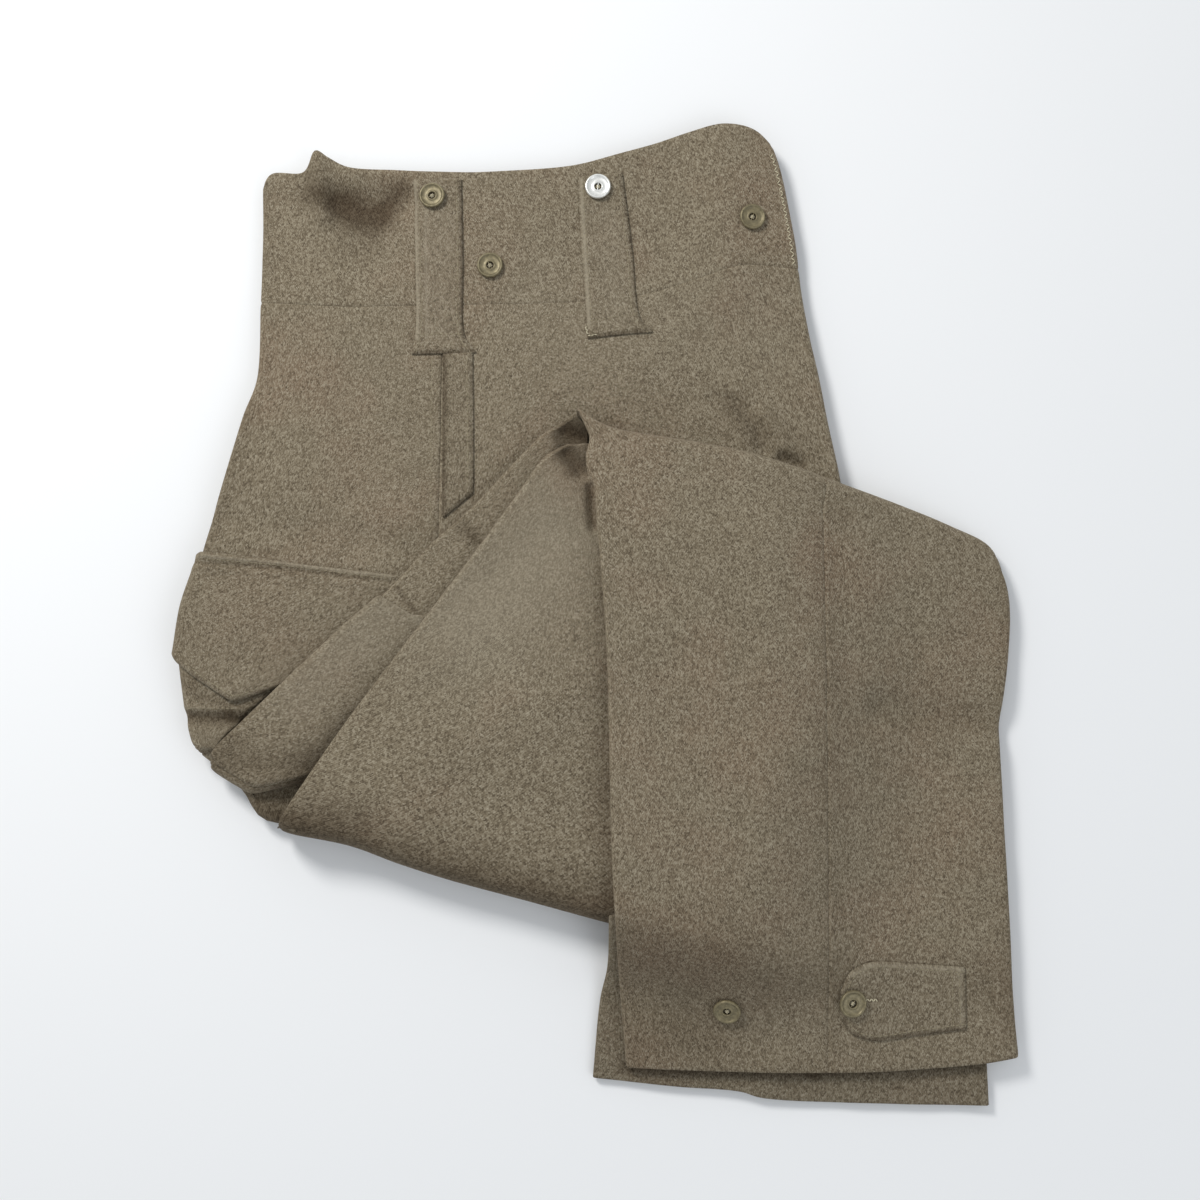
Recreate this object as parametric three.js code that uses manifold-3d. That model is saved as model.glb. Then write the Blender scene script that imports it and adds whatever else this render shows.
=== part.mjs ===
// Wool battledress trousers, folded flat on a table.
//
// The garment lies on its right side, so its left side is on top and its front is to the left.
// Both legs come down from the hip, fold up over the thigh along a lower fold, and fold down
// again along an upper fold, so that the cuffs end below the rest.
//
// Millimetres, +Z up, +Y towards the waist, +X towards the seat's centre-back seam.
// Visible cloth is a wall of its own. The layers that nothing shows share one rounded solid.
import * as THREE from "three";
import { mergeVertices } from "three/addons/utils/BufferGeometryUtils.js";
import Module from "manifold-3d";

const wasm = await Module();
wasm.setup();

// Cloth and stacking
const CLOTH = 1.9; // one thickness of heavy wool serge, with its nap
const SMOOTHING = 0.2; // the hidden solid's faces may be this far off, which its clearance allows
const GAP = 0.35; // clearance between two pieces
const CORE_GAP = 0.55; // clearance between the hidden layers and the cloth round them, before smoothing
const LEG_PAD = 9; // height of one flattened leg: two cloths and the air between them
const CENTRE = { x: -5.4, y: 10.76 }; // middle of the layout's outline, which becomes the origin

// Trim
const BUTTON = { radius: 9.5, height: 3.2, rim: 1.5, hole: 3.0, bar: 0.7, seat: 0.4 };
const TRIM_CLOTH = 2.0; // loops, tab and flap are folded cloth, pressed flat
const TRIM_SEAT = 0.5; // how far a trim piece lies above the cloth that carries it

// Outlines, seen from above. Each table runs along one edge of the folded shape.
const WAIST_EDGE = [
  { x: -253, y: 318 },
  { x: -246, y: 328 },
  { x: -222, y: 329 },
  { x: -213, y: 344 },
  { x: -204, y: 340 },
  { x: -190, y: 333.5 },
  { x: -150, y: 331 },
  { x: -110, y: 330 },
  { x: -70, y: 330.5 },
  { x: -31, y: 333.5 },
  { x: 0, y: 340 },
  { x: 38, y: 351 },
  { x: 67, y: 361 },
  { x: 93, y: 366.5 },
  { x: 115, y: 361.5 },
  { x: 129, y: 348 },
];
const BAND_SEAM = [
  { x: -252, y: 229 },
  { x: -200, y: 226 },
  { x: -100, y: 227 },
  { x: -9, y: 230 },
  { x: 30, y: 234 },
  { x: 70, y: 245 },
  { x: 105, y: 256 },
  { x: 146.5, y: 255 },
];
const BAND_LEFT = [
  { x: -253, y: 318 },
  { x: -252, y: 280 },
  { x: -252, y: 229 },
];
const BAND_RIGHT = [
  { x: 129, y: 348 },
  { x: 134, y: 332 },
  { x: 140, y: 301 },
  { x: 145, y: 270 },
  { x: 146.5, y: 255 },
];
const FRONT_CREASE = [
  { x: -252, y: 229 },
  { x: -252.5, y: 171 },
  { x: -262, y: 141 },
  { x: -271.5, y: 103 },
  { x: -285, y: 48 },
  { x: -293.5, y: 8 },
  { x: -299, y: -29 },
  { x: -295, y: -62 },
  { x: -293, y: -86 },
  { x: -290, y: -104 },
];
const BACK_SEAM = [
  { x: 146.5, y: 255 },
  { x: 148.5, y: 235 },
  { x: 154, y: 200 },
  { x: 160, y: 170 },
  { x: 165, y: 140 },
  { x: 172, y: 103 },
  { x: 178, y: 64 },
];
const THIGH_FOOT = [
  { x: -290, y: -104 },
  { x: -266, y: -101 },
  { x: -235, y: -80 },
  { x: -195, y: -44 },
  { x: -160, y: -12 },
  { x: -125, y: 18 },
  { x: -85, y: 58 },
  { x: -42, y: 104 },
  { x: -8, y: 112 },
  { x: 30, y: 108 },
  { x: 100, y: 92 },
  { x: 160, y: 70 },
  { x: 178, y: 64 },
];
const THIGH_PAD_FOOT = [
  { x: -290, y: -104 },
  { x: -258, y: -129 },
  { x: -238, y: -148 },
  { x: -120, y: -130 },
  { x: 60, y: -40 },
  { x: 178, y: 64 },
];
const KNEE_LEFT = [
  { x: -19, y: 119 },
  { x: -40, y: 108 },
  { x: -62, y: 76 },
  { x: -88.5, y: 39 },
  { x: -126, y: -12 },
  { x: -172, y: -74 },
  { x: -213, y: -133 },
  { x: -231, y: -157 },
];
const KNEE_RIGHT = [
  { x: 262, y: 44 },
  { x: 232, y: -20 },
  { x: 180, y: -120 },
  { x: 117, y: -249 },
];
const LOWER_FOLD = [
  { x: -231, y: -157 },
  { x: -215, y: -160 },
  { x: -176, y: -167.5 },
  { x: -141, y: -180 },
  { x: -106, y: -191 },
  { x: -51, y: -205.5 },
  { x: 5, y: -220.5 },
  { x: 117, y: -249 },
];
const INNER_FOLD = [
  { x: -19, y: 119 },
  { x: 27, y: 116 },
  { x: 104, y: 101 },
  { x: 168, y: 82 },
  { x: 262, y: 44 },
];
const STRIP_LEFT = [
  { x: -19, y: 146 },
  { x: -40, y: 129 },
  { x: -90, y: 74 },
  { x: -122, y: 44 },
  { x: -150, y: 13 },
  { x: -179, y: -13 },
  { x: -213, y: -46 },
  { x: -250, y: -81 },
  { x: -283, y: -111 },
];
const STRIP_RIGHT = [
  { x: -4, y: 134 },
  { x: -30, y: 98 },
  { x: -74, y: 36 },
  { x: -112, y: -16 },
  { x: -158, y: -78 },
  { x: -206, y: -134 },
  { x: -222, y: -155 },
];
const STRIP_FOOT = [
  { x: -283, y: -111 },
  { x: -257, y: -129 },
  { x: -243, y: -146 },
  { x: -231, y: -153 },
  { x: -222, y: -155 },
];
const UPPER_FOLD = [
  { x: -8, y: 119 },
  { x: 4, y: 125 },
  { x: 27, y: 124.5 },
  { x: 69, y: 117.5 },
  { x: 104, y: 109.5 },
  { x: 132, y: 101.5 },
  { x: 168, y: 90.5 },
  { x: 214, y: 76 },
  { x: 255, y: 60 },
  { x: 279, y: 49 },
  { x: 289, y: 38 },
];
const SHIN_LEFT = [
  { x: -8, y: 119 },
  { x: -6, y: 94 },
  { x: -3, y: 52 },
  { x: -1, y: 30 },
  { x: 3, y: -26 },
  { x: 4.5, y: -67 },
  { x: 7, y: -176 },
  { x: 11, y: -244 },
  { x: 17, y: -318 },
];
const SHIN_RIGHT = [
  { x: 289, y: 38 },
  { x: 294, y: 7 },
  { x: 292, y: -29 },
  { x: 283.5, y: -86 },
  { x: 283.5, y: -128 },
  { x: 284.5, y: -177 },
  { x: 285.5, y: -219 },
  { x: 286, y: -273 },
  { x: 288, y: -311 },
];
const LEFT_HEM = [
  { x: 17, y: -318 },
  { x: 68, y: -320 },
  { x: 146, y: -321.5 },
  { x: 206, y: -320 },
  { x: 264, y: -315 },
  { x: 288, y: -311 },
];
const RIGHT_HEM = [
  { x: -6, y: -326 },
  { x: 54, y: -332 },
  { x: 96, y: -335 },
  { x: 112, y: -339.5 },
  { x: 205, y: -343.5 },
  { x: 268, y: -344.5 },
];
const RIGHT_CUFF_LEFT = [
  { x: 5, y: -214 },
  { x: 4, y: -250 },
  { x: -1, y: -274 },
  { x: -6, y: -326 },
];
const RIGHT_CUFF_RIGHT = [
  { x: 262, y: -214 },
  { x: 266, y: -270 },
  { x: 268, y: -344.5 },
];

const SHIN_PAD_FOOT = [
  { x: 15, y: -292 },
  { x: 146, y: -296 },
  { x: 287, y: -290 },
];

// Trim outlines: each piece lies between its left and right tables, which run down its sides
const SIDE_LOOP = {
  left: [{ x: -140, y: 323 }, { x: -137, y: 262 }, { x: -136, y: 202.5 }, { x: -139, y: 189 }],
  right: [{ x: -105, y: 324 }, { x: -103, y: 262 }, { x: -101, y: 202.5 }, { x: -92.5, y: 190 }],
};
const BACK_LOOP = {
  left: [{ x: -17, y: 325 }, { x: -14, y: 268 }, { x: -10, y: 210 }, { x: -10, y: 201 }],
  right: [{ x: 15, y: 328 }, { x: 22, y: 271 }, { x: 28, y: 215 }, { x: 37, y: 205 }],
};
const SIDE_WELT = {
  left: [{ x: -115.6, y: 188 }, { x: -114.6, y: 120 }, { x: -113.6, y: 66 }],
  right: [{ x: -95, y: 190 }, { x: -93.5, y: 130 }, { x: -93, y: 84 }],
};
const POCKET = {
  left: [
    { x: -299, y: -8 }, { x: -302, y: -29 }, { x: -298, y: -62 }, { x: -296.6, y: -82 },
    { x: -294.4, y: -95 },
  ],
  right: [
    { x: -205, y: -33 }, { x: -216, y: -43 }, { x: -234, y: -60 }, { x: -253.5, y: -77.5 },
    { x: -273, y: -95 },
  ],
};
const FLAP = {
  top: [{ x: -291, y: 43.5 }, { x: -249, y: 38.5 }, { x: -195, y: 32 }, { x: -146, y: 24 }],
  bottom: [
    { x: -305, y: -34 }, { x: -282, y: -47 }, { x: -257, y: -63 }, { x: -240, y: -61 },
    { x: -229, y: -55 },
  ],
  left: [{ x: -291, y: 43.5 }, { x: -301, y: 4 }, { x: -305, y: -34 }],
  right: [{ x: -146, y: 24 }, { x: -172, y: -2 }, { x: -201, y: -28 }, { x: -229, y: -55 }],
};
const TAB = {
  top: [
    { x: 165, y: -266 }, { x: 172, y: -253.5 }, { x: 186, y: -247.5 }, { x: 218, y: -249 },
    { x: 251, y: -251 },
  ],
  bottom: [
    { x: 165, y: -283 }, { x: 172, y: -294.5 }, { x: 188, y: -299.5 }, { x: 218, y: -296 },
    { x: 251, y: -292 },
  ],
};
const BUTTONS = [
  { name: "loop_button_side", x: -125.6, y: 309.3, finish: "brass" },
  { name: "loop_button_back", x: -2.5, y: 316.3, finish: "steel" },
  { name: "brace_button_side", x: -82.3, y: 256.4, finish: "brass" },
  { name: "brace_button_back", x: 111.8, y: 292.7, finish: "brass" },
  { name: "cuff_button_spare", x: 86.3, y: -278.8, finish: "brass" },
  { name: "cuff_button_tab", x: 172, y: -273.9, finish: "brass" },
];

// Heights of the cloth's outer face above the table
const HEIGHT = {
  waist: 14, // two sides of the garment, each with its waistband
  thigh: 21, // two legs
  strip: 33, // the left leg's second run, on the thigh
  knee: 41, // and the right leg on that
  shin: 58, // the third run where it lies on both of the others
  cuff: 15, // the third run where it lies on the table
};
const CUFF_STEP = { leftInner: 3.2, rightInner: 8 }; // how far the cuff's next cloths lie below the first

// Soft troughs (negative) and ridges (positive), each along a line, with a width across it
const THIGH_FOLDS = [
  { x0: -213, y0: 344, x1: -207, y1: 296, width: 9, depth: 5 },
  { x0: -190, y0: 322, x1: -146, y1: 308, width: 17, depth: -7 },
  { x0: -168, y0: 312, x1: -178, y1: 262, width: 16, depth: -2.5 },
  { x0: -292, y0: 66, x1: -140, y1: 44, width: 13, depth: -2.6 },
  { x0: 96, y0: 352, x1: 84, y1: 250, width: 34, depth: 5 },
  { x0: 96, y0: 140, x1: 128, y1: 128, width: 10, depth: -4 },
  { x0: 128, y0: 128, x1: 142, y1: 96, width: 9, depth: -4.5 },
  { x0: -30, y0: 160, x1: 60, y1: 205, width: 40, depth: 2 },
];
const KNEE_FOLDS = [
  { x0: -150, y0: -120, x1: -20, y1: -60, width: 30, depth: 2.2 },
  { x0: -120, y0: -170, x1: 0, y1: -150, width: 26, depth: -1.5 },
  { x0: -70, y0: 20, x1: -20, y1: 60, width: 22, depth: -1.2 },
];
const SHIN_FOLDS = [
  { x0: 196, y0: -70, x1: 296, y1: -82, width: 12, depth: -4.5 },
  { x0: 40, y0: -90, x1: 190, y1: -78, width: 13, depth: -1.2 },
  { x0: 160, y0: 44, x1: 172, y1: -60, width: 15, depth: -2.4 },
  { x0: 230, y0: 20, x1: 262, y1: -50, width: 22, depth: 2 },
  { x0: 190, y0: -130, x1: 250, y1: -240, width: 26, depth: 1.5 },
];

const COLOURS = { serge: 0x7a705c, brass: 0x7e7650, steel: 0xd8d8d4 };
const FINISH = {
  serge: new THREE.MeshStandardMaterial({ color: COLOURS.serge, roughness: 0.95, metalness: 0 }),
  brass: new THREE.MeshStandardMaterial({ color: COLOURS.brass, roughness: 0.45, metalness: 0.8 }),
  steel: new THREE.MeshStandardMaterial({ color: COLOURS.steel, roughness: 0.3, metalness: 0.9 }),
};

const clamp = (t) => Math.min(1, Math.max(0, t));
const smooth = (t) => clamp(t) ** 2 * (3 - 2 * clamp(t));
const lerp = THREE.MathUtils.lerp;

// A smooth edge through a table's rows, at a share of its length.
function edge(rows) {
  const points = rows.map((r) => new THREE.Vector3(r.x, r.y, 0));
  const curve = new THREE.CatmullRomCurve3(points, false, "centripetal");
  curve.arcLengthDivisions = 400;
  return (t) => curve.getPointAt(clamp(t));
}

// A patch between four edges: a point for each share across (u) and along (v).
function patch(top, bottom, left, right) {
  const corners = [top(0), top(1), bottom(0), bottom(1)];
  return (u, v) => {
    const p = left(v).multiplyScalar(1 - u).addScaledVector(right(v), u);
    p.addScaledVector(top(u), 1 - v).addScaledVector(bottom(u), v);
    [(1 - u) * (1 - v), u * (1 - v), (1 - u) * v, u * v].forEach((w, i) => p.addScaledVector(corners[i], -w));
    return p;
  };
}

// Height that a table's troughs and ridges add at a point.
function relief(folds, x, y) {
  return folds.reduce((sum, f) => {
    const length = Math.hypot(f.x1 - f.x0, f.y1 - f.y0);
    const along = ((x - f.x0) * (f.x1 - f.x0) + (y - f.y0) * (f.y1 - f.y0)) / length;
    const across = ((x - f.x0) * (f.y1 - f.y0) - (y - f.y0) * (f.x1 - f.x0)) / length;
    const past = Math.max(0, -along, along - length);
    return sum + f.depth * Math.exp(-((across / f.width) ** 2) - (past / f.width) ** 2);
  }, 0);
}

// How far a point lies on the upper side of a line through two points, as 0 to 1 over a width.
function beyond(x, y, a, b, width) {
  const length = Math.hypot(b.x - a.x, b.y - a.y);
  const side = ((b.x - a.x) * (y - a.y) - (b.y - a.y) * (x - a.x)) / length;
  return smooth(side / width + 0.5);
}

const FOLD_LINE = [LOWER_FOLD[2], LOWER_FOLD[7]]; // the lower fold, left to right
const UNDER_SHIN = { step: 46, seat: { x: 150, y: -400 }, seatTop: { x: 178, y: 100 } };

function thighHeight(x, y) {
  const full = smooth((262 - y) / 200);
  const atBack = smooth((x - 96) / 90) * 4;
  return lerp(HEIGHT.waist, HEIGHT.thigh, full) - atBack * full + relief(THIGH_FOLDS, x, y);
}

function stripHeight(x, y) {
  return HEIGHT.strip - 2 * smooth((-200 - x) / 90) - 3.5 * smooth((-90 - y) / 60);
}

function kneeHeight(x, y) {
  const nearFold = 1 - beyond(x, y, ...FOLD_LINE, 90);
  return HEIGHT.knee - 7 * nearFold + relief(KNEE_FOLDS, x, y);
}

function shinHeight(x, y) {
  const above = beyond(x, y, { x: -176, y: -190 }, { x: 117, y: -271 }, UNDER_SHIN.step * 1.5);
  const onSeat = beyond(x, y, UNDER_SHIN.seat, UNDER_SHIN.seatTop, UNDER_SHIN.step * 1.3);
  const onKnee = beyond(x, y, KNEE_RIGHT[3], KNEE_RIGHT[0], UNDER_SHIN.step);
  const rise = HEIGHT.shin - HEIGHT.cuff;
  const atFold = 5 * smooth((y - 60 + 0.26 * x) / 60);
  const carried = HEIGHT.cuff + rise * above * (0.52 * onSeat + 0.48 * onKnee);
  return carried - atFold + relief(SHIN_FOLDS, x, y) * (0.4 + 0.6 * above);
}

// Shares of a row: a rolled edge has steps of its own, then the flat follows.
const ROLL_STEPS = 4;
const flat = (steps) => Array.from({ length: steps + 1 }, (_, i) => ({ at: i / steps, turn: 0 }));
function stations(steps, rollStart, rollEnd) {
  const turned = (turn, i) => (turn * (i + 1)) / ROLL_STEPS;
  const roll = (at, turn) =>
    Array.from({ length: ROLL_STEPS }, (_, i) => ({ at, turn: turned(turn, i) }));
  const start = rollStart ? roll(0, rollStart).reverse() : [];
  const end = rollEnd ? roll(1, rollEnd) : [];
  return [...start, ...flat(steps), ...end];
}

// The outer face of one cloth: a patch at a height, whose rolled sides turn down by an angle.
// spread is how far a turned side stands out, and drop how deep half a turn goes.
const NEAR = 10; // how fast a rolled side's inset fades away from that side
function face(plan, height, options) {
  const { u, v, range = () => [0, 1], rows = [0, 1] } = options;
  const { spread = 4, endSpread = spread, drop = LEG_PAD, endDrop = drop } = options;
  const has = (list, at) => list.some((s) => s.turn && s.at === at);
  const sides = { left: has(u, 0), right: has(u, 1), start: has(v, 0), end: has(v, 1) };
  return v.map((sv) => {
    const vv = lerp(rows[0], rows[1], sv.at);
    const [u0, u1] = range(vv);
    return u.map((su) => {
      const uu = lerp(u0, u1, su.at);
      const step = 0.004;
      const p = plan(uu, vv);
      const across = plan(Math.min(1, uu + step), vv).sub(plan(Math.max(0, uu - step), vv)).normalize();
      const along = plan(uu, Math.min(1, vv + step)).sub(plan(uu, Math.max(0, vv - step))).normalize();
      if (sides.left) p.addScaledVector(across, spread * (1 - su.at) ** NEAR);
      if (sides.right) p.addScaledVector(across, -spread * su.at ** NEAR);
      if (sides.start) p.addScaledVector(along, endSpread * (1 - sv.at) ** NEAR);
      if (sides.end) p.addScaledVector(along, -endSpread * sv.at ** NEAR);
      const z = height(p.x, p.y);
      const [deep, endDeep] = [drop, endDrop].map((d) => (typeof d === "function" ? d(z) : d));
      p.addScaledVector(across, spread * Math.sin(su.turn) * (su.at ? 1 : -1));
      p.addScaledVector(along, endSpread * Math.sin(sv.turn) * (sv.at ? 1 : -1));
      const du = (1 - Math.cos(su.turn)) / 2;
      const dv = (1 - Math.cos(sv.turn)) / 2;
      p.z = z - deep * du - endDeep * dv + Math.min(deep, endDeep) * du * dv;
      return p;
    });
  });
}

// A closed wall from a grid of points: the cloth's outer face lies lift above the grid along its
// normals, the inner face one thickness below that, and a band closes the sides.
function wall(grid, { thick = CLOTH, grow = 0, lift = 0 } = {}) {
  const rows = grid.length;
  const cols = grid[0].length;
  const at = (i, j) => grid[Math.min(rows - 1, Math.max(0, i))][Math.min(cols - 1, Math.max(0, j))];
  const outer = [];
  const inner = [];
  grid.forEach((row, i) =>
    row.forEach((p, j) => {
      const across = at(i, j + 1).clone().sub(at(i, j - 1));
      const along = at(i + 1, j).clone().sub(at(i - 1, j));
      const normal = along.clone().cross(across).normalize();
      const place = p.clone();
      if (grow) {
        if (j === 0 || j === cols - 1) place.addScaledVector(across.normalize(), j ? grow : -grow);
        if (i === 0 || i === rows - 1) place.addScaledVector(along.normalize(), i ? grow : -grow);
      }
      outer.push(place.clone().addScaledVector(normal, lift + grow));
      inner.push(place.clone().addScaledVector(normal, lift - thick - grow));
    }),
  );
  const positions = [...outer, ...inner].flatMap((p) => p.toArray());
  const index = [];
  const far = rows * cols;
  const quad = (a, b, c, d) => index.push(a, b, c, a, c, d);
  for (let i = 0; i < rows - 1; i++)
    for (let j = 0; j < cols - 1; j++) {
      const a = i * cols + j;
      quad(a, a + cols, a + cols + 1, a + 1);
      quad(far + a, far + a + 1, far + a + cols + 1, far + a + cols);
    }
  for (let j = 0; j < cols - 1; j++) {
    const b = (rows - 1) * cols + j;
    quad(j, j + 1, far + j + 1, far + j);
    quad(b + 1, b, far + b, far + b + 1);
  }
  for (let i = 0; i < rows - 1; i++) {
    const a = i * cols;
    const b = a + cols - 1;
    quad(a + cols, a, far + a, far + a + cols);
    quad(b, b + cols, far + b + cols, far + b);
  }
  const made = new THREE.BufferGeometry();
  made.setAttribute("position", new THREE.Float32BufferAttribute(positions, 3));
  return made.setIndex(index);
}

// Manifold solid of a closed geometry, and back again.
function toSolid(geometry) {
  const bare = (geometry.index ? geometry.toNonIndexed() : geometry.clone());
  bare.deleteAttribute("normal");
  bare.deleteAttribute("uv");
  const merged = mergeVertices(bare, 1e-3);
  return new wasm.Manifold(new wasm.Mesh({
    numProp: 3,
    vertProperties: merged.attributes.position.array,
    triVerts: new Uint32Array(merged.index.array),
  }));
}
function toGeometry(solid) {
  const { vertProperties, triVerts } = solid.getMesh();
  return new THREE.BufferGeometry()
    .setAttribute("position", new THREE.Float32BufferAttribute(vertProperties, 3))
    .setIndex(Array.from(triVerts));
}

const trousers = new THREE.Group();
const cutters = []; // solids a little larger than each wall, which the hidden layers keep clear of

function add(name, geometry, finish = FINISH.serge) {
  const mesh = new THREE.Mesh(geometry, finish);
  mesh.name = name;
  trousers.add(mesh);
  return mesh;
}
function addWall(name, grid, options = {}) {
  cutters.push(toSolid(wall(grid, { ...options, grow: CORE_GAP })));
  add(name, wall(grid, options));
  return grid;
}

// Height of the cloth placed so far, looking straight down on a small spot.
const ray = new THREE.Raycaster();
const SPOT = 0.9;
function topAt(x, y, carriers = trousers.children) {
  const found = [[0, 0], [SPOT, SPOT], [-SPOT, SPOT], [SPOT, -SPOT], [-SPOT, -SPOT]].map(([dx, dy]) => {
    ray.set(new THREE.Vector3(x + dx, y + dy, 200), new THREE.Vector3(0, 0, -1));
    return ray.intersectObjects(carriers)[0]?.point.z ?? 0;
  });
  return Math.max(...found);
}

// A rounded pad under a patch: its top follows the cloth above, and its rim has a lip for each hidden leg.
const PAD_LEVELS = 6;
const PAD_CLEAR = 1.6; // the pad's top lies this far under the cloth above it
function pad(plan, height, { nu, nv, inset, round, lips, lipDepth }) {
  const shares = (n, at) => Array.from({ length: n }, (_, i) => at(i / n));
  const rim = [
    ...shares(nu, (t) => [t, 0]),
    ...shares(nv, (t) => [1, t]),
    ...shares(nu, (t) => [1 - t, 1]),
    ...shares(nv, (t) => [0, 1 - t]),
  ];
  const count = rim.length;
  const positions = [];
  const place = (p, z) => positions.push(p.x, p.y, z) / 3 - 1;
  const topOf = (p) => height(p.x, p.y) - CLOTH - PAD_CLEAR;
  const outline = rim.map(([u, v]) => plan(u, v));
  const inward = outline.map((_, i) => {
    const along = outline[(i + 1) % count].clone().sub(outline[(i + count - 1) % count]);
    return new THREE.Vector3(along.y, -along.x, 0).normalize();
  });
  const rings = Array.from({ length: PAD_LEVELS + 1 }, (_, k) => {
    const share = k / PAD_LEVELS;
    const curve = round * (1 - Math.sqrt(1 - (2 * share - 1) ** 2));
    const lip = lipDepth * (1 - Math.abs(Math.sin(Math.PI * lips * share)));
    return outline.map((q, i) => {
      const p = q.clone().addScaledVector(inward[i], inset + curve + lip);
      return place(p, topOf(p) * (1 - share));
    });
  });
  const fill = (ring, z) => {
    const grid = Array.from({ length: nv + 1 }, () => []);
    rim.forEach(([u, v], i) => (grid[Math.round(v * nv)][Math.round(u * nu)] = ring[i]));
    for (let j = 1; j < nv; j++)
      for (let i = 1; i < nu; i++) {
        const share = (t) => 0.5 + (t - 0.5) * 0.93;
        const p = plan(share(i / nu), share(j / nv));
        grid[j][i] = place(p, z(p));
      }
    return grid;
  };
  const top = fill(rings[0], topOf);
  const bottom = fill(rings[PAD_LEVELS], () => 0);
  const index = [];
  const quad = (a, b, c, d) => index.push(a, b, c, a, c, d);
  for (let j = 0; j < nv; j++)
    for (let i = 0; i < nu; i++) {
      quad(top[j][i], top[j + 1][i], top[j + 1][i + 1], top[j][i + 1]);
      quad(bottom[j][i], bottom[j][i + 1], bottom[j + 1][i + 1], bottom[j + 1][i]);
    }
  rings.slice(1).forEach((ring, k) =>
    ring.forEach((_, i) => {
      const next = (i + 1) % count;
      quad(rings[k][i], rings[k][next], ring[next], ring[i]);
    }),
  );
  const made = new THREE.BufferGeometry();
  made.setAttribute("position", new THREE.Float32BufferAttribute(positions, 3));
  return made.setIndex(index);
}

// A straight edge between two points.
const line = (a, b) => (t) => new THREE.Vector3(lerp(a.x, b.x, t), lerp(a.y, b.y, t), 0);

// First run: waistband, left front and left back, cut from one patch with seams between
const bandPlan = patch(edge(WAIST_EDGE), edge(BAND_SEAM), edge(BAND_LEFT), edge(BAND_RIGHT));
const thighPlan = patch(edge(BAND_SEAM), edge(THIGH_FOOT), edge(FRONT_CREASE), edge(BACK_SEAM));
const SIDE_SEAM_X = -117;
const SEAM_SHARE = 0.0016; // half a seam's gap, as a share of the patch
const TURN = Math.PI * 0.72; // how far a crease's cloth is seen to turn under
const hipDrop = (z) => Math.min(LEG_PAD, z * 0.43); // a crease is as deep as the leg is thick there
function shareAtX(plan, x, v) {
  let [low, high] = [0, 1];
  for (let i = 0; i < 24; i++) {
    const middle = (low + high) / 2;
    if (plan(middle, v).x < x) low = middle;
    else high = middle;
  }
  return low;
}
addWall("waistband_left", face(bandPlan, thighHeight, {
  u: stations(26, TURN, TURN), v: flat(5), rows: [0, 0.994], drop: hipDrop,
}));
addWall("waistband_right", face(bandPlan, () => CLOTH, {
  u: flat(10), v: flat(3), rows: [0.02, 1], range: () => [0.012, 1.012],
}));
addWall("left_front_thigh", face(thighPlan, thighHeight, {
  u: stations(9, TURN, 0), v: flat(12), rows: [SEAM_SHARE, 1],
  range: (v) => [0, shareAtX(thighPlan, SIDE_SEAM_X, v) - SEAM_SHARE], drop: hipDrop,
}));
addWall("left_back_seat", face(thighPlan, thighHeight, {
  u: stations(11, 0, TURN), v: flat(8), rows: [SEAM_SHARE, 0.91],
  range: (v) => [shareAtX(thighPlan, SIDE_SEAM_X, v) + SEAM_SHARE, 1], drop: hipDrop,
}));

// Second run: the left leg's inner side shows as a strip, and the right leg lies on it
const stripPlan = patch(
  line(STRIP_LEFT[0], STRIP_RIGHT[0]), edge(STRIP_FOOT), edge(STRIP_LEFT), edge(STRIP_RIGHT),
);
const strip = addWall("left_inner_knee", face(stripPlan, stripHeight, {
  u: stations(4, TURN, 0), v: stations(16, 0, Math.PI / 2), drop: 7, endSpread: 6, endDrop: 26,
}));
addWall("map_pocket_foot", strip.slice(8, -3), { lift: CLOTH + GAP + 0.05 });
const KNEE_TUCK_X = 24; // the knee's cloth ends here, under the shin
const kneePlan = patch(edge(INNER_FOLD), edge(LOWER_FOLD), edge(KNEE_LEFT), edge(KNEE_RIGHT));
addWall("right_front_knee", face(kneePlan, kneeHeight, {
  u: stations(9, TURN, 0), v: stations(14, 0, Math.PI * 0.8), rows: [0.03, 1],
  range: (v) => [0, shareAtX(kneePlan, KNEE_TUCK_X, v)], drop: 5, endSpread: 12, endDrop: (z) => z * 0.95,
}));

// Third run: the left shin, front and back, and the cuff's other cloths
const shinPlan = patch(edge(UPPER_FOLD), edge(LEFT_HEM), edge(SHIN_LEFT), edge(SHIN_RIGHT));
const SHIN_SEAM_X = 156;
const SHIN_ROLL = 7;
const foldDrop = (z) => Math.min(34, z * 0.8);
addWall("left_front_shin", face(shinPlan, shinHeight, {
  u: stations(8, TURN, 0), v: stations(22, Math.PI * 0.7, 0),
  range: (v) => [0, shareAtX(shinPlan, SHIN_SEAM_X, v) - SEAM_SHARE],
  drop: SHIN_ROLL, endSpread: 11, endDrop: foldDrop,
}));
addWall("left_back_shin", face(shinPlan, shinHeight, {
  u: stations(7, 0, TURN), v: stations(22, Math.PI * 0.7, 0),
  range: (v) => [shareAtX(shinPlan, SHIN_SEAM_X, v) + SEAM_SHARE, 1],
  drop: SHIN_ROLL, endSpread: 11, endDrop: foldDrop,
}));
addWall("left_inner_cuff", face(shinPlan, (x, y) => shinHeight(x, y) - CUFF_STEP.leftInner, {
  u: flat(18), v: flat(3), rows: [0.93, 0.994], range: () => [0.03, 0.97],
}));
const cuffPlan = patch(
  line(RIGHT_CUFF_LEFT[0], RIGHT_CUFF_RIGHT[0]), edge(RIGHT_HEM),
  edge(RIGHT_CUFF_LEFT), edge(RIGHT_CUFF_RIGHT),
);
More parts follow.
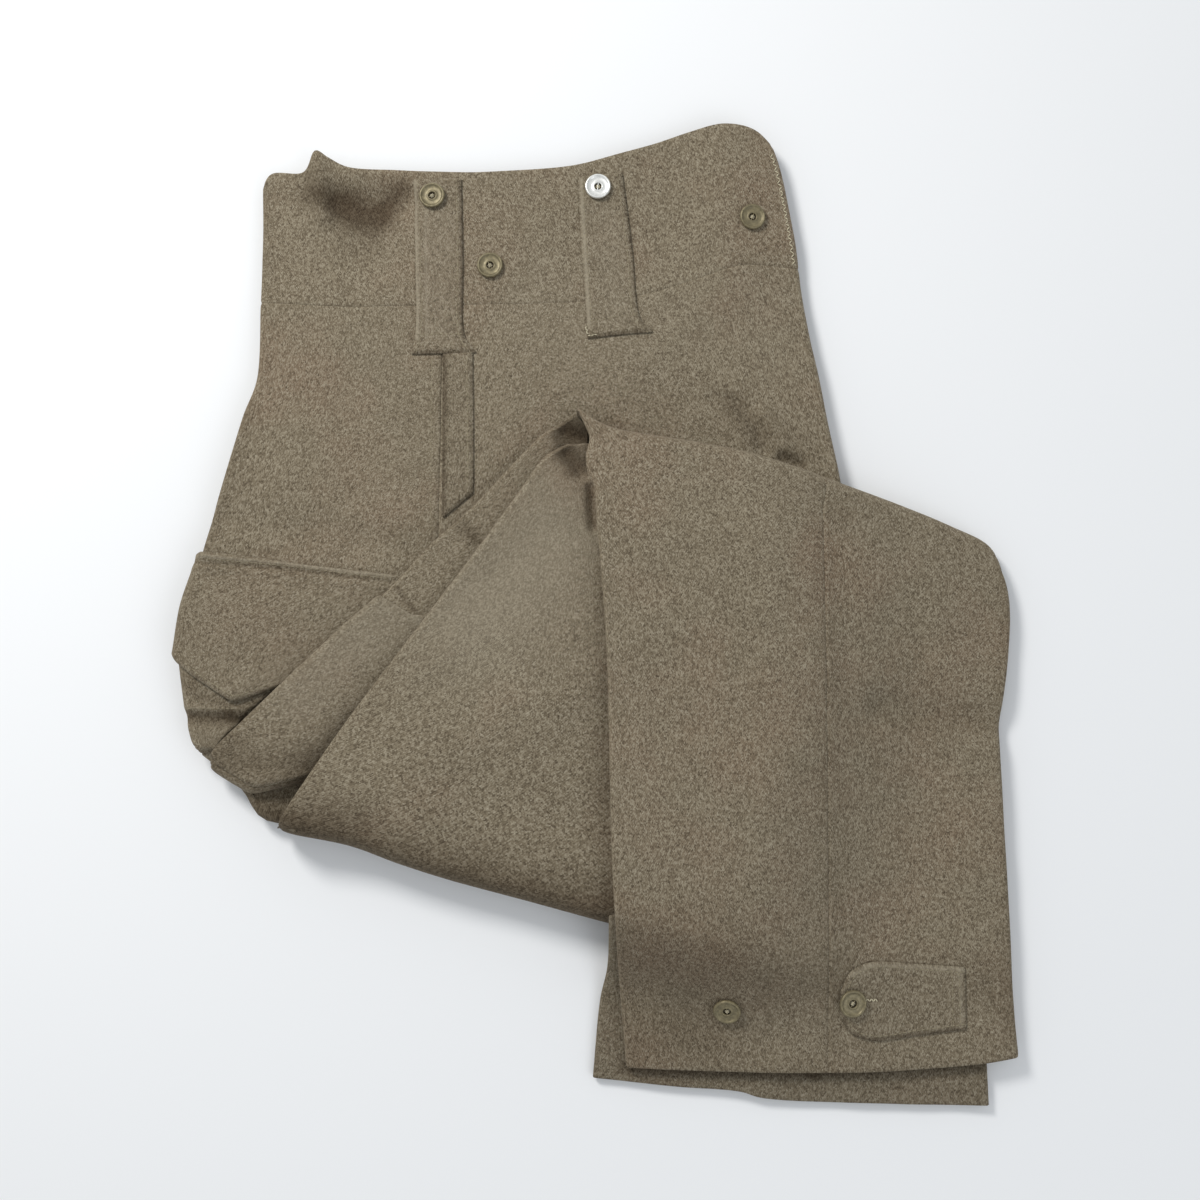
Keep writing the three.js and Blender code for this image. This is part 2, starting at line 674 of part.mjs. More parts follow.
addWall("right_inner_cuff", face(cuffPlan, (x, y) => shinHeight(x, y) - CUFF_STEP.rightInner, {
  u: stations(11, TURN, TURN), v: flat(7), drop: 5, spread: 3.2,
}));
addWall("right_outer_cuff", face(cuffPlan, () => CLOTH, {
  u: flat(9), v: flat(4), range: () => [0.012, 0.988], rows: [0.1, 0.985],
}));

// Hidden layers: one rounded solid under all three runs, kept clear of every wall
const hipSides = [[...BAND_LEFT, ...FRONT_CREASE.slice(1)], [...BAND_RIGHT, ...BACK_SEAM.slice(1)]].map(edge);
const thighPad = patch(edge(WAIST_EDGE), edge(THIGH_PAD_FOOT), ...hipSides);
const shinPad = patch(edge(UPPER_FOLD), edge(SHIN_PAD_FOOT), edge(SHIN_LEFT), edge(SHIN_RIGHT));
const padSolids = [
  pad(thighPad, thighHeight, { nu: 10, nv: 10, inset: 3, round: 5, lips: 2, lipDepth: 1.6 }),
  pad(kneePlan, kneeHeight, { nu: 9, nv: 9, inset: 4, round: 12, lips: 3, lipDepth: 1 }),
  pad(shinPad, shinHeight, { nu: 9, nv: 11, inset: 3.6, round: 8, lips: 3, lipDepth: 1.5 }),
].map(toSolid);
const joined = padSolids.reduce((sum, s) => sum.add(s));
const cleared = cutters.reduce((solid, cutter) => solid.subtract(cutter), joined);
const largestOf = (solid) => solid.decompose().sort((a, b) => b.volume() - a.volume())[0];
const core = largestOf(cleared.simplify(SMOOTHING));
add("hidden_layers", toGeometry(largestOf(toSolid(toGeometry(core)))));

// Trim: loops, welt, flap and tab lie on the cloth, and the buttons on them
function addTrim(name, plan, { over, lift = () => TRIM_CLOTH + TRIM_SEAT, ...rest }) {
  const carriers = over ? [trousers.getObjectByName(over)] : trousers.children;
  const height = (x, y) => topAt(x, y, carriers) + lift(x, y);
  add(name, wall(face(plan, height, rest), { thick: TRIM_CLOTH }));
}
const between = ({ left, right }) =>
  patch(line(left[0], right[0]), line(left.at(-1), right.at(-1)), edge(left), edge(right));
addTrim("belt_loop_side", between(SIDE_LOOP), { u: flat(5), v: flat(14) });
addTrim("belt_loop_back", between(BACK_LOOP), { u: flat(5), v: flat(14) });
addTrim("side_pocket_welt", between(SIDE_WELT), { u: flat(3), v: flat(12) });
const overPocket = (x, y) => TRIM_CLOTH + TRIM_SEAT + 2.7 * smooth((30 - y) / 34);
addTrim("map_pocket_flap", patch(edge(FLAP.top), edge(FLAP.bottom), edge(FLAP.left), edge(FLAP.right)), {
  u: stations(10, Math.PI * 0.5, 0), v: flat(8), lift: overPocket, spread: 9.6, drop: 19.4,
});
addTrim("map_pocket", between(POCKET), {
  u: stations(6, Math.PI * 0.5, 0), v: flat(7), over: "left_front_thigh", spread: 7, drop: 14.6,
});
const tabEnds = [line(TAB.top[0], TAB.bottom[0]), line(TAB.top.at(-1), TAB.bottom.at(-1))];
addTrim("ankle_tab", patch(edge(TAB.top), edge(TAB.bottom), ...tabEnds), { u: flat(10), v: flat(5) });

// A dished button with one round hole and a bar across it for the thread
function buttonGeometry() {
  const { radius, height, rim, hole, bar } = BUTTON;
  const profile = [
    [hole, 0.2], [radius - 2, 0], [radius, height - 1], [radius - 0.6, height],
    [radius - rim, height - 0.1], [radius - rim - 1.6, height - 1], [hole, height - 1.6],
  ].map(([x, y]) => new THREE.Vector2(x, y));
  const ring = new THREE.LatheGeometry([...profile, profile[0].clone()], 20).rotateX(Math.PI / 2);
  const rod = new THREE.CylinderGeometry(bar, bar, hole * 2 + 0.8, 6).rotateZ(Math.PI / 2).translate(0, 0, 1);
  return toGeometry(toSolid(ring).add(toSolid(rod)));
}
const SLOPE_STEP = 5;
BUTTONS.forEach(({ name, x, y, finish }) => {
  const slopeX = (topAt(x + SLOPE_STEP, y) - topAt(x - SLOPE_STEP, y)) / (2 * SLOPE_STEP);
  const slopeY = (topAt(x, y + SLOPE_STEP) - topAt(x, y - SLOPE_STEP)) / (2 * SLOPE_STEP);
  const normal = new THREE.Vector3(-slopeX, -slopeY, 1).normalize();
  const rise = Array.from({ length: 12 }, (_, i) => (i * Math.PI) / 6).map((angle) => {
    const [dx, dy] = [Math.cos(angle), Math.sin(angle)].map((c) => c * BUTTON.radius);
    return topAt(x + dx, y + dy) - topAt(x, y) - slopeX * dx - slopeY * dy;
  });
  const button = add(name, buttonGeometry(), FINISH[finish]);
  button.quaternion.setFromUnitVectors(new THREE.Vector3(0, 0, 1), normal);
  button.position.set(x, y, topAt(x, y) + 0.3 * Math.max(0, ...rise)).addScaledVector(normal, BUTTON.seat);
  button.updateMatrixWorld();
});

trousers.position.set(-CENTRE.x, -CENTRE.y, 0);

export default trousers;
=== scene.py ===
# %% [markdown]
# # Folded battledress trousers
#
# The object is a pair of heavy wool trousers, folded and laid on a table. They lie on their right
# side, so the left leg is on top and the front is to the left. Both legs run down from the hip,
# fold back up over the thigh, and fold down once more, so that the cuffs end up below everything
# else.
#
# Cloth is made here as thin walls. Each wall starts as a surface worked out with numpy on a grid of
# points, and the fine work (stitches, thread, the weave) is laid on afterwards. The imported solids
# give the shared frame.

import math

import bpy
import numpy as np
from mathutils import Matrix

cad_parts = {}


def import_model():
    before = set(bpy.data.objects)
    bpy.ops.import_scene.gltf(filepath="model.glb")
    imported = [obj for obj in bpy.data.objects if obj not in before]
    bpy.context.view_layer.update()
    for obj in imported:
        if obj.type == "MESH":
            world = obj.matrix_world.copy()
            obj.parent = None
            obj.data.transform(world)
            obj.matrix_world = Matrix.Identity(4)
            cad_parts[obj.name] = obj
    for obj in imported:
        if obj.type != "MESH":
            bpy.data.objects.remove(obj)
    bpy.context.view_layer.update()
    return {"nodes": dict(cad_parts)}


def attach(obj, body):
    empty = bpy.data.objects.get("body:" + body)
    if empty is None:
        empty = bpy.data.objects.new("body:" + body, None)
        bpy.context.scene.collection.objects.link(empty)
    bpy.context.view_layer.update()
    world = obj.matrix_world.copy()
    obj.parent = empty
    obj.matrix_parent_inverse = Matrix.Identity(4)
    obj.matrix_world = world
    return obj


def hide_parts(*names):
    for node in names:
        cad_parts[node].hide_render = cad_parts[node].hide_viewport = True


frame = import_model()
rng = np.random.default_rng(7)
print("nodes in the frame:", len(frame["nodes"]))

# %% [markdown]
# ## Camera, floor and light
#
# The photograph was taken from almost straight above, a little from the hem's side, so the camera
# stands about 1.1 m away and 82 degrees up. The layout is measured in millimetres, and CENTRE is
# the point of it that becomes the origin of the frame.

# %% Camera
MM = 0.001
CENTRE = (-5.4, 10.76)
AIM = (-1.0 - CENTRE[0], 6.0 - CENTRE[1], 20.0)
DISTANCE = 1100.0
ELEVATION = math.radians(82.0)

scene = bpy.context.scene
eye = (AIM[0], AIM[1] - DISTANCE * math.cos(ELEVATION), AIM[2] + DISTANCE * math.sin(ELEVATION))
camera = bpy.data.objects.new("camera", bpy.data.cameras.new("camera"))
camera.data.sensor_width = 36.0
camera.data.lens = 46.2
camera.data.clip_end = 20.0
camera.location = [c * MM for c in eye]
camera.rotation_euler = (math.pi / 2 - ELEVATION, 0.0, 0.0)
scene.collection.objects.link(camera)
scene.camera = camera
print("camera at", [round(c, 4) for c in camera.location])

# %% [markdown]
# A large pale sheet stands in for the table, and the light is a broad soft lamp up and to the left,
# as a window would be, with a weaker one from the other side. The world adds an even, slightly cool
# fill, so that the hollows stay readable.


# %% Floor and lights
def lamp(name, place, aim, size, watts, colour):
    """An area lamp at place that points at aim, in metres."""
    data = bpy.data.lights.new(name, "AREA")
    data.shape = "DISK"
    data.size = size
    data.energy = watts
    data.color = colour
    made = bpy.data.objects.new(name, data)
    scene.collection.objects.link(made)
    away = np.array(place) - np.array(aim)
    flat = math.hypot(away[0], away[1])
    made.location = place
    made.rotation_euler = (math.atan2(flat, away[2]), 0.0, math.atan2(away[1], away[0]) + math.pi / 2)


def new_look(name):
    """A material, its node tree and its principled shader."""
    look = bpy.data.materials.new(name)
    look.use_nodes = True
    return look, look.node_tree, look.node_tree.nodes["Principled BSDF"]


lamp("window", (-0.95, 1.05, 1.35), (0.0, 0.0, 0.02), 0.55, 24.0, (1.0, 0.985, 0.96))
lamp("fill", (1.2, -1.1, 1.5), (0.0, 0.0, 0.0), 1.4, 7.0, (0.93, 0.96, 1.0))

world = bpy.data.worlds.new("studio")
world.use_nodes = True
background = world.node_tree.nodes["Background"]
background.inputs["Color"].default_value = (0.94, 0.97, 1.0, 1.0)
background.inputs["Strength"].default_value = 0.55
scene.world = world
scene.view_settings.view_transform = "Standard"

FLOOR_REACH = 4.0
FLOOR_UNDER = 0.0004
floor_mesh = bpy.data.meshes.new("floor")
floor_corners = [
    (x * FLOOR_REACH, y * FLOOR_REACH, -FLOOR_UNDER) for x, y in ((-1, -1), (1, -1), (1, 1), (-1, 1))
]
floor_mesh.from_pydata(floor_corners, [], [(0, 1, 2, 3)])
floor = bpy.data.objects.new("floor", floor_mesh)
scene.collection.objects.link(floor)
floor_look, _, floor_bsdf = new_look("floor")
floor_bsdf.inputs["Base Color"].default_value = (0.86, 0.87, 0.88, 1.0)
floor_bsdf.inputs["Roughness"].default_value = 0.9
floor_mesh.materials.append(floor_look)
print("lamps:", [lit.name for lit in bpy.data.lights])

# %% [markdown]
# ## The layout
#
# A folded garment is easiest to describe by its edges: where each crease, fold, seam and hem runs
# when it is seen from above. Each table below is one edge, as x and y in millimetres. A smooth
# curve goes through its points, and four such curves close a patch, which is the plan of one run of
# the legs.

# %% Edges of the hip and the thigh
WAIST_EDGE = [
    (-253, 318), (-246, 328), (-222, 329), (-213, 344), (-204, 340), (-190, 333.5), (-150, 331), (-110, 330),
    (-70, 330.5), (-31, 333.5), (0, 340), (38, 351), (67, 361), (93, 366.5), (115, 361.5), (129, 348),
]
BAND_SEAM = [(-252, 229), (-200, 226), (-100, 227), (-9, 230), (30, 234), (70, 245), (105, 256), (146.5, 255)]
BAND_LEFT = [(-253, 318), (-252, 280), (-252, 229)]
BAND_RIGHT = [(129, 348), (134, 332), (140, 301), (145, 270), (146.5, 255)]
FRONT_CREASE = [
    (-252, 229), (-252.5, 171), (-262, 141), (-271.5, 103), (-285, 48), (-293.5, 8), (-298, -29), (-295, -58),
    (-291, -82), (-286, -106),
]
BACK_SEAM = [(146.5, 255), (148.5, 235), (154, 200), (160, 170), (165, 140), (172, 103), (178, 64)]
THIGH_FOOT = [
    (-286, -106), (-266, -101), (-235, -80), (-195, -44), (-160, -12), (-125, 18), (-85, 58), (-42, 104),
    (-8, 112), (30, 108), (100, 92), (160, 70), (178, 64),
]
THIGH_PAD_FOOT = [(-284, -107), (-257, -129), (-236, -154), (-120, -136), (60, -40), (178, 64)]

# %% Edges of the second and third runs
KNEE_LEFT = [
    (-24, 119.5), (-33, 114.5), (-43, 105), (-62, 76), (-88.5, 39), (-126, -12), (-172, -74), (-213, -133),
    (-231, -157),
]
KNEE_RIGHT = [(262, 44), (232, -20), (180, -120), (117, -249)]
LOWER_FOLD = [
    (-231, -157), (-215, -160), (-176, -167.5), (-141, -180), (-106, -191), (-51, -205.5), (5, -220.5),
    (117, -249),
]
INNER_FOLD = [(-24, 119.5), (-14, 117), (27, 113), (104, 101), (168, 82), (262, 44)]
STRIP_LEFT = [
    (-19.5, 140.5), (-40, 127), (-90, 74), (-122, 44), (-150, 13), (-179, -13), (-213, -46), (-250, -81),
    (-284, -111),
]
STRIP_RIGHT = [(-10, 128), (-12, 113), (-30, 95), (-74, 34), (-112, -17), (-152, -74), (-197, -121)]
STRIP_FOOT = [(-284, -111), (-255.5, -126.7), (-247, -131), (-225, -127.5), (-197, -121)]
UPPER_FOLD = [
    (-18.6, 141.2), (-6, 133), (8, 127), (27, 123.5), (69, 117), (104, 109.5), (132, 101.5), (168, 90.5),
    (214, 76), (255, 60), (279, 49), (289, 38),
]
SHIN_LEFT = [
    (-18.6, 141.2), (-13, 129), (-8.5, 117.5), (-11, 104), (-9.5, 91), (-5.5, 83), (-4, 70), (-3, 51.5),
    (-1, 30), (3, -26), (4.5, -67), (7, -176), (11, -244), (17, -318),
]
SHIN_RIGHT = [
    (289, 38), (294, 7), (292, -29), (283.5, -86), (283.5, -128), (284.5, -177), (285.5, -219), (286, -273),
    (288, -311),
]
LEFT_HEM = [(17, -318), (68, -320), (146, -321.5), (206, -320), (264, -315), (288, -311)]
RIGHT_HEM = [(-6, -326), (54, -332), (96, -335), (112, -339.5), (205, -343.5), (268, -344.5)]
RIGHT_CUFF_LEFT = [(5, -214), (4, -250), (-1, -274), (-6, -326)]
RIGHT_CUFF_RIGHT = [(262, -214), (266, -270), (268, -344.5)]
SHIN_PAD_CORNER = [(4, 118), (27, 117.5)]
SHIN_PAD_FOOT = [(15, -292), (146, -296), (287, -290)]

# %% [markdown]
# Two helpers turn the tables into surfaces. `edge` runs a smooth curve through the points, and
# `patch` fills the space between four of them.


# %% Curves and patches
def unit(vectors):
    """Vectors of length one, with the same directions."""
    return vectors / np.linalg.norm(vectors, axis=-1, keepdims=True)


def edge(rows, samples=24):
    """A curve through rows, as a function of the share t of its length.

    Each span is a cubic with the tangents of a centripetal Catmull-Rom spline, whose knots are
    spaced by the square root of the distance between neighbours.
    """
    p = np.array(rows, float)
    p = np.vstack([2 * p[0] - p[1], p, 2 * p[-1] - p[-2]])
    knot = np.sqrt(np.linalg.norm(np.diff(p, axis=0), axis=1))
    p0, p1, p2, p3 = p[:-3], p[1:-2], p[2:-1], p[3:]
    d0, d1, d2 = (k[:, None] for k in (knot[:-2], knot[1:-1], knot[2:]))
    m1 = ((p1 - p0) / d0 - (p2 - p0) / (d0 + d1) + (p2 - p1) / d1) * d1
    m2 = ((p2 - p1) / d1 - (p3 - p1) / (d1 + d2) + (p3 - p2) / d2) * d1
    s = (np.arange(samples) / samples)[:, None, None]
    h = (2 * s**3 - 3 * s**2 + 1, s**3 - 2 * s**2 + s, -2 * s**3 + 3 * s**2, s**3 - s**2)
    points = h[0] * p1 + h[1] * m1 + h[2] * p2 + h[3] * m2
    points = np.vstack([points.transpose(1, 0, 2).reshape(-1, 2), p[-2]])
    length = np.append(0, np.cumsum(np.linalg.norm(np.diff(points, axis=0), axis=1)))

    def at(t):
        share = np.clip(t, 0, 1) * length[-1]
        return np.stack([np.interp(share, length, points[:, k]) for k in (0, 1)], axis=-1)

    return at


def patch(top, bottom, left, right):
    """A Coons patch between four curves, as a function of u across and v down.

    p = (1 - u) left + u right + (1 - v) top + v bottom - the bilinear blend of the four corners.
    """
    corner = [top(0.0), top(1.0), bottom(0.0), bottom(1.0)]

    def at(u, v):
        u, v = np.broadcast_arrays(u, v)
        a, b = u[..., None], v[..., None]
        blend = (1 - a) * (1 - b) * corner[0] + a * (1 - b) * corner[1]
        blend = blend + (1 - a) * b * corner[2] + a * b * corner[3]
        return (1 - a) * left(v) + a * right(v) + (1 - b) * top(u) + b * bottom(u) - blend

    return at


def line(a, b):
    """The straight curve from a to b."""
    a, b = np.array(a, float), np.array(b, float)
    return lambda t: a + (b - a) * np.asarray(t, float)[..., None]


HALVINGS = 24


def share_at_x(plan, x, v):
    """The u at which a patch's row v reaches x, found by halving."""
    low, high = np.zeros_like(v), np.ones_like(v)
    for _ in range(HALVINGS):
        middle = (low + high) / 2
        short = plan(middle, v)[..., 0] < x
        low, high = np.where(short, middle, low), np.where(short, high, middle)
    return low


band_plan = patch(edge(WAIST_EDGE), edge(BAND_SEAM), edge(BAND_LEFT), edge(BAND_RIGHT))
thigh_plan = patch(edge(BAND_SEAM), edge(THIGH_FOOT), edge(FRONT_CREASE), edge(BACK_SEAM))
strip_plan = patch(
    line(STRIP_LEFT[0], STRIP_RIGHT[0]), edge(STRIP_FOOT), edge(STRIP_LEFT), edge(STRIP_RIGHT)
)
knee_plan = patch(edge(INNER_FOLD), edge(LOWER_FOLD), edge(KNEE_LEFT), edge(KNEE_RIGHT))
shin_plan = patch(edge(UPPER_FOLD), edge(LEFT_HEM), edge(SHIN_LEFT), edge(SHIN_RIGHT))
cuff_plan = patch(
    line(RIGHT_CUFF_LEFT[0], RIGHT_CUFF_RIGHT[0]), edge(RIGHT_HEM),
    edge(RIGHT_CUFF_LEFT), edge(RIGHT_CUFF_RIGHT)
)
print("middle of the thigh patch:", np.round(thigh_plan(0.5, 0.5), 1))

# %% [markdown]
# ## Heights, folds and creases
#
# The cloth's height above the table is a few levels, one for each run, with soft troughs and ridges
# on top. A crease in wool is never even, so each row of these tables has its own direction, width
# and depth.

# %% Levels and folds
CLOTH = 1.9
LEVEL = {"waist": 14.0, "thigh": 21.0, "strip": 33.0, "knee": 41.0, "shin": 58.0, "cuff": 15.0}
CUFF_STEP = {"left_inner": 3.2, "right_inner": 8.0}

# Each row: start x and y, end x and y, width across, height added.
THIGH_FOLDS = [
    (-213, 344, -207, 296, 9, 5),
    (-196, 306, -150, 305, 14, -6.5),
    (-168, 312, -178, 262, 16, -2.5),
    (-292, 66, -140, 44, 13, -2.6),
    (96, 352, 84, 250, 34, 5),
    (84, 156, 98, 152, 6, -2.6),
    (106, 146, 113, 134, 6, -3.2),
    (116, 126, 117, 117, 6, -2.6),
    (117, 141, 132, 120, 8, 2.5),
    (131, 110, 143, 106, 4.5, -4),
    (-30, 160, 60, 205, 40, 2),
    (-292, -71.5, -250, -71.5, 2.5, 1.0),
    (-288, -78, -250, -81, 4.5, -4.0),
]
STRIP_FOLDS = [
    (-25, 127, -10, 122, 9, -9.5),
    (-24, 112, -14, 98, 8, -7),
    (-168, -88, -215, -142, 15, -5),
    (-100, 57, -88, 46, 7, -2.2),
    (-262, -122, -206, -119, 4, 1.5),
]
KNEE_FOLDS = [
    (-14, 113, -12, 98, 2.5, 2.5),
    (-24, 110, -14, 98, 8, -10),
    (-7, 84, -5, 56, 4, -5),
    (-150, -120, -20, -60, 30, 2.2),
    (-120, -170, 0, -150, 26, -1.5),
    (-70, 20, -20, 60, 22, -1.2),
]
SHIN_FOLDS = [
    (196, -70, 296, -82, 12, -4.5),
    (40, -90, 190, -78, 13, -1.2),
    (160, 44, 172, -60, 15, -2.4),
    (230, 20, 262, -50, 22, 2),
    (190, -130, 250, -240, 26, 1.5),
]


def smooth(t):
    """3 t^2 - 2 t^3 between 0 and 1."""
    t = np.clip(t, 0, 1)
    return t * t * (3 - 2 * t)


def relief(folds, x, y):
    """The sum of the folds' heights: depth * exp(-(across / width)^2 - (past the ends / width)^2)."""
    total = np.zeros(np.broadcast(x, y).shape)
    for x0, y0, x1, y1, width, depth in folds:
        length = math.hypot(x1 - x0, y1 - y0)
        along = ((x - x0) * (x1 - x0) + (y - y0) * (y1 - y0)) / length
        across = ((x - x0) * (y1 - y0) - (y - y0) * (x1 - x0)) / length
        past = np.maximum(0, np.maximum(-along, along - length))
        total = total + depth * np.exp(-((across / width) ** 2) - (past / width) ** 2)
    return total


def beyond(x, y, a, b, width):
    """0 on one side of the line from a to b and 1 on the other, with a smooth step of that width."""
    length = math.hypot(b[0] - a[0], b[1] - a[1])
    side = ((b[0] - a[0]) * (y - a[1]) - (b[1] - a[1]) * (x - a[0])) / length
    return smooth(side / width + 0.5)


# %% [markdown]
# Pressed wool still ripples a little everywhere. A sum of a few dozen long sine waves with random
# directions gives that, and it is the same for every piece, so that neighbours ripple together.

# %% Ripples
WAVES = 30
wave_length = np.exp(rng.uniform(np.log(28), np.log(150), WAVES))
wave_turn = rng.uniform(0, 2 * np.pi, WAVES)
wave_start = rng.uniform(0, 2 * np.pi, WAVES)
wave_high = 0.17 * (wave_length / 90) ** 0.8


def ripple(x, y):
    """sum of a_i sin(2 pi (x cos t_i + y sin t_i) / l_i + s_i)."""
    total = np.zeros(np.broadcast(x, y).shape)
    for k in range(WAVES):
        along = x * math.cos(wave_turn[k]) + y * math.sin(wave_turn[k])
        total = total + wave_high[k] * np.sin(2 * np.pi * along / wave_length[k] + wave_start[k])
    return total


# Where a run gains or loses height: the place it starts from, the width of the step, and its height.
HIP_STEP = (262.0, 200.0)
BACK_STEP = (96.0, 90.0, 4.0)
STRIP_STEP = (-212.0, 62.0, 7.5)
STRIP_FOOT_STEP = (-90.0, 60.0, 2.0)
KNEE_STEP = (90.0, 7.0)
FOLD_STEP = (60.0, 60.0, 5.0)
# The third run's height comes from the seat and from the knee, in these shares.
SEAT_SHARE, KNEE_SHARE = 0.62, 0.38
SEAT_WIDTH, CUFF_WIDTH = 125, 69


def thigh_height(x, y):
    """From the waistband's two cloths at the top to two whole legs lower down."""
    full = smooth((HIP_STEP[0] - y) / HIP_STEP[1])
    at_back = smooth((x - BACK_STEP[0]) / BACK_STEP[1]) * BACK_STEP[2]
    level = LEVEL["waist"] + (LEVEL["thigh"] - LEVEL["waist"]) * full
    return level - at_back * full + relief(THIGH_FOLDS, x, y) + ripple(x, y)


def strip_height(x, y):
    """The left leg's second run, sinking a little towards the lower fold."""
    at_left = STRIP_STEP[2] * smooth((STRIP_STEP[0] - x) / STRIP_STEP[1])
    at_foot = STRIP_FOOT_STEP[2] * smooth((STRIP_FOOT_STEP[0] - y) / STRIP_FOOT_STEP[1])
    return LEVEL["strip"] - at_left - at_foot + relief(STRIP_FOLDS, x, y) + 0.6 * ripple(x, y)


def knee_height(x, y):
    """The right leg's second run."""
    near_fold = 1 - beyond(x, y, LOWER_FOLD[2], LOWER_FOLD[7], KNEE_STEP[0])
    return LEVEL["knee"] - KNEE_STEP[1] * near_fold + relief(KNEE_FOLDS, x, y) + ripple(x, y)


def shin_height(x, y):
    """The third run: on the knee and the seat at the top, on the table at the cuffs."""
    above_cuff = beyond(x, y, (-176, -190), (117, -271), CUFF_WIDTH)
    on_seat = beyond(x, y, (150, -400), (178, 100), SEAT_WIDTH)
    on_knee = beyond(x, y, KNEE_RIGHT[3], KNEE_RIGHT[0], SEAT_WIDTH)
    rise = LEVEL["shin"] - LEVEL["cuff"]
    at_fold = FOLD_STEP[2] * smooth((y - FOLD_STEP[0] + 0.26 * x) / FOLD_STEP[1])
    level = LEVEL["cuff"] + rise * above_cuff * (SEAT_SHARE * on_seat + KNEE_SHARE * on_knee) - at_fold
    return level + relief(SHIN_FOLDS, x, y) * (0.4 + 0.6 * above_cuff) + 0.8 * ripple(x, y)


for label, place in (("over the knee", (60.0, 0.0)), ("at the cuff", (150.0, -310.0))):
    print(f"shin {label}: {float(shin_height(*place)):.1f} mm")

# %% [markdown]
# ## From a surface to cloth
#
# `face` lays a grid over a patch. Where a side of the piece is a crease, the grid gets extra rows
# that roll round it, so the cloth is seen to turn under. `wall` gives the face its thickness, with
# a rounded rim where the cloth is cut. Making the thickness by hand, instead of with a modifier,
# keeps the rim's width true at every step.


# %% Faces
def stations(steps, roll_start=0.0, roll_end=0.0, roll_steps=8):
    """Shares along a side and the angle turned there: a roll, the flat, and a roll."""
    at = np.linspace(0, 1, steps + 1)
    turn = np.zeros(steps + 1)
    if roll_start:
        at = np.append(np.zeros(roll_steps), at)
        turn = np.append(roll_start * np.arange(roll_steps, 0, -1) / roll_steps, turn)
    if roll_end:
        at = np.append(at, np.ones(roll_steps))
        turn = np.append(turn, roll_end * np.arange(1, roll_steps + 1) / roll_steps)
    return at, turn


SHARE_STEP = 0.004
CORNER_ROUND = 0.6


def face(plan, height, u, v, reach=None, rows=(0, 1), spread=4.0, end_spread=None, drop=9.0,
         end_drop=None, start=None, corner=0.0):
    """A cloth's outer face as a grid of points, rows down v and columns along u.

    On a rolled side the plan moves in by spread, and a station turned by the angle a stands spread sin(a)
    out and drop (1 - cos(a)) / 2 down. start gives the first row's own spread and drop, and corner moves
    the corners where two rolls meet inwards.
    """
    end_spread = spread if end_spread is None else end_spread
    end_drop = drop if end_drop is None else end_drop
    (at_u, turn_u), (at_v, turn_v) = u, v
    end_spread = end_spread(at_u) if callable(end_spread) else np.full(at_u.shape, end_spread)
    v_spread = np.where((at_v == 0)[:, None], end_spread if start is None else start[0], end_spread)
    vv = rows[0] + (rows[1] - rows[0]) * at_v
    low, high = (np.zeros_like(vv), np.ones_like(vv)) if reach is None else reach(vv)
    uu = low[:, None] + (high - low)[:, None] * at_u[None, :]
    vv = np.broadcast_to(vv[:, None], uu.shape)
    far_u = np.minimum(np.maximum(1, uu), uu + SHARE_STEP)
    across = unit(plan(far_u, vv) - plan(np.maximum(0, uu - SHARE_STEP), vv))
    along = unit(plan(uu, np.minimum(1, vv + SHARE_STEP)) - plan(uu, np.maximum(0, vv - SHARE_STEP)))
    rolls = [turn[at == end].max() > 0 for at, turn in (u, v) for end in (0, 1)]
    width = np.linalg.norm(plan(high, vv[:, 0]) - plan(low, vv[:, 0]), axis=-1)[:, None]
    length = np.linalg.norm(plan(uu[-1], vv[-1]) - plan(uu[0], vv[0]), axis=-1)[None, :]
    near = [
        np.exp(-at_u[None, :] * width / (2 * spread)) * rolls[0],
        np.exp(-(1 - at_u[None, :]) * width / (2 * spread)) * rolls[1],
        np.exp(-at_v[:, None] * length / (2 * end_spread)) * rolls[2],
        np.exp(-(1 - at_v[:, None]) * length / (2 * end_spread)) * rolls[3],
    ]
    inset_u = (near[0] - near[1]) * (spread + corner * (near[2] + near[3]))
    inset_v = near[2] * (end_spread if start is None else start[0]) - near[3] * end_spread
    inset_v = inset_v + corner * (near[2] - near[3]) * (near[0] + near[1])
    p = plan(uu, vv) + across * inset_u[..., None] + along * inset_v[..., None]
    z = height(p[..., 0], p[..., 1])
    deep, end_deep = (d(z) if callable(d) else np.full(z.shape, d) for d in (drop, end_drop))
    du = (1 - np.cos(turn_u))[None, :] / 2
    dv = (1 - np.cos(turn_v))[:, None] / 2
    out_u = spread * (np.sin(turn_u) * np.where(at_u == 1, 1, -1))[None, :] * (1 - CORNER_ROUND * dv)
    out_v = v_spread * (np.sin(turn_v) * np.where(at_v == 1, 1, -1))[:, None] * (1 - CORNER_ROUND * du)
    p = p + across * out_u[..., None] + along * out_v[..., None]
    if start is not None:
        end_deep = np.where((at_v == 0)[:, None], start[1], end_deep)
    z = z - deep * du - end_deep * dv + np.minimum(deep, end_deep) * du * dv
    return np.dstack([p, z])


def grid_normals(grid):
    """Unit normals of a grid, up where the grid lies flat."""
    return unit(np.cross(np.gradient(grid, axis=0), np.gradient(grid, axis=1)))


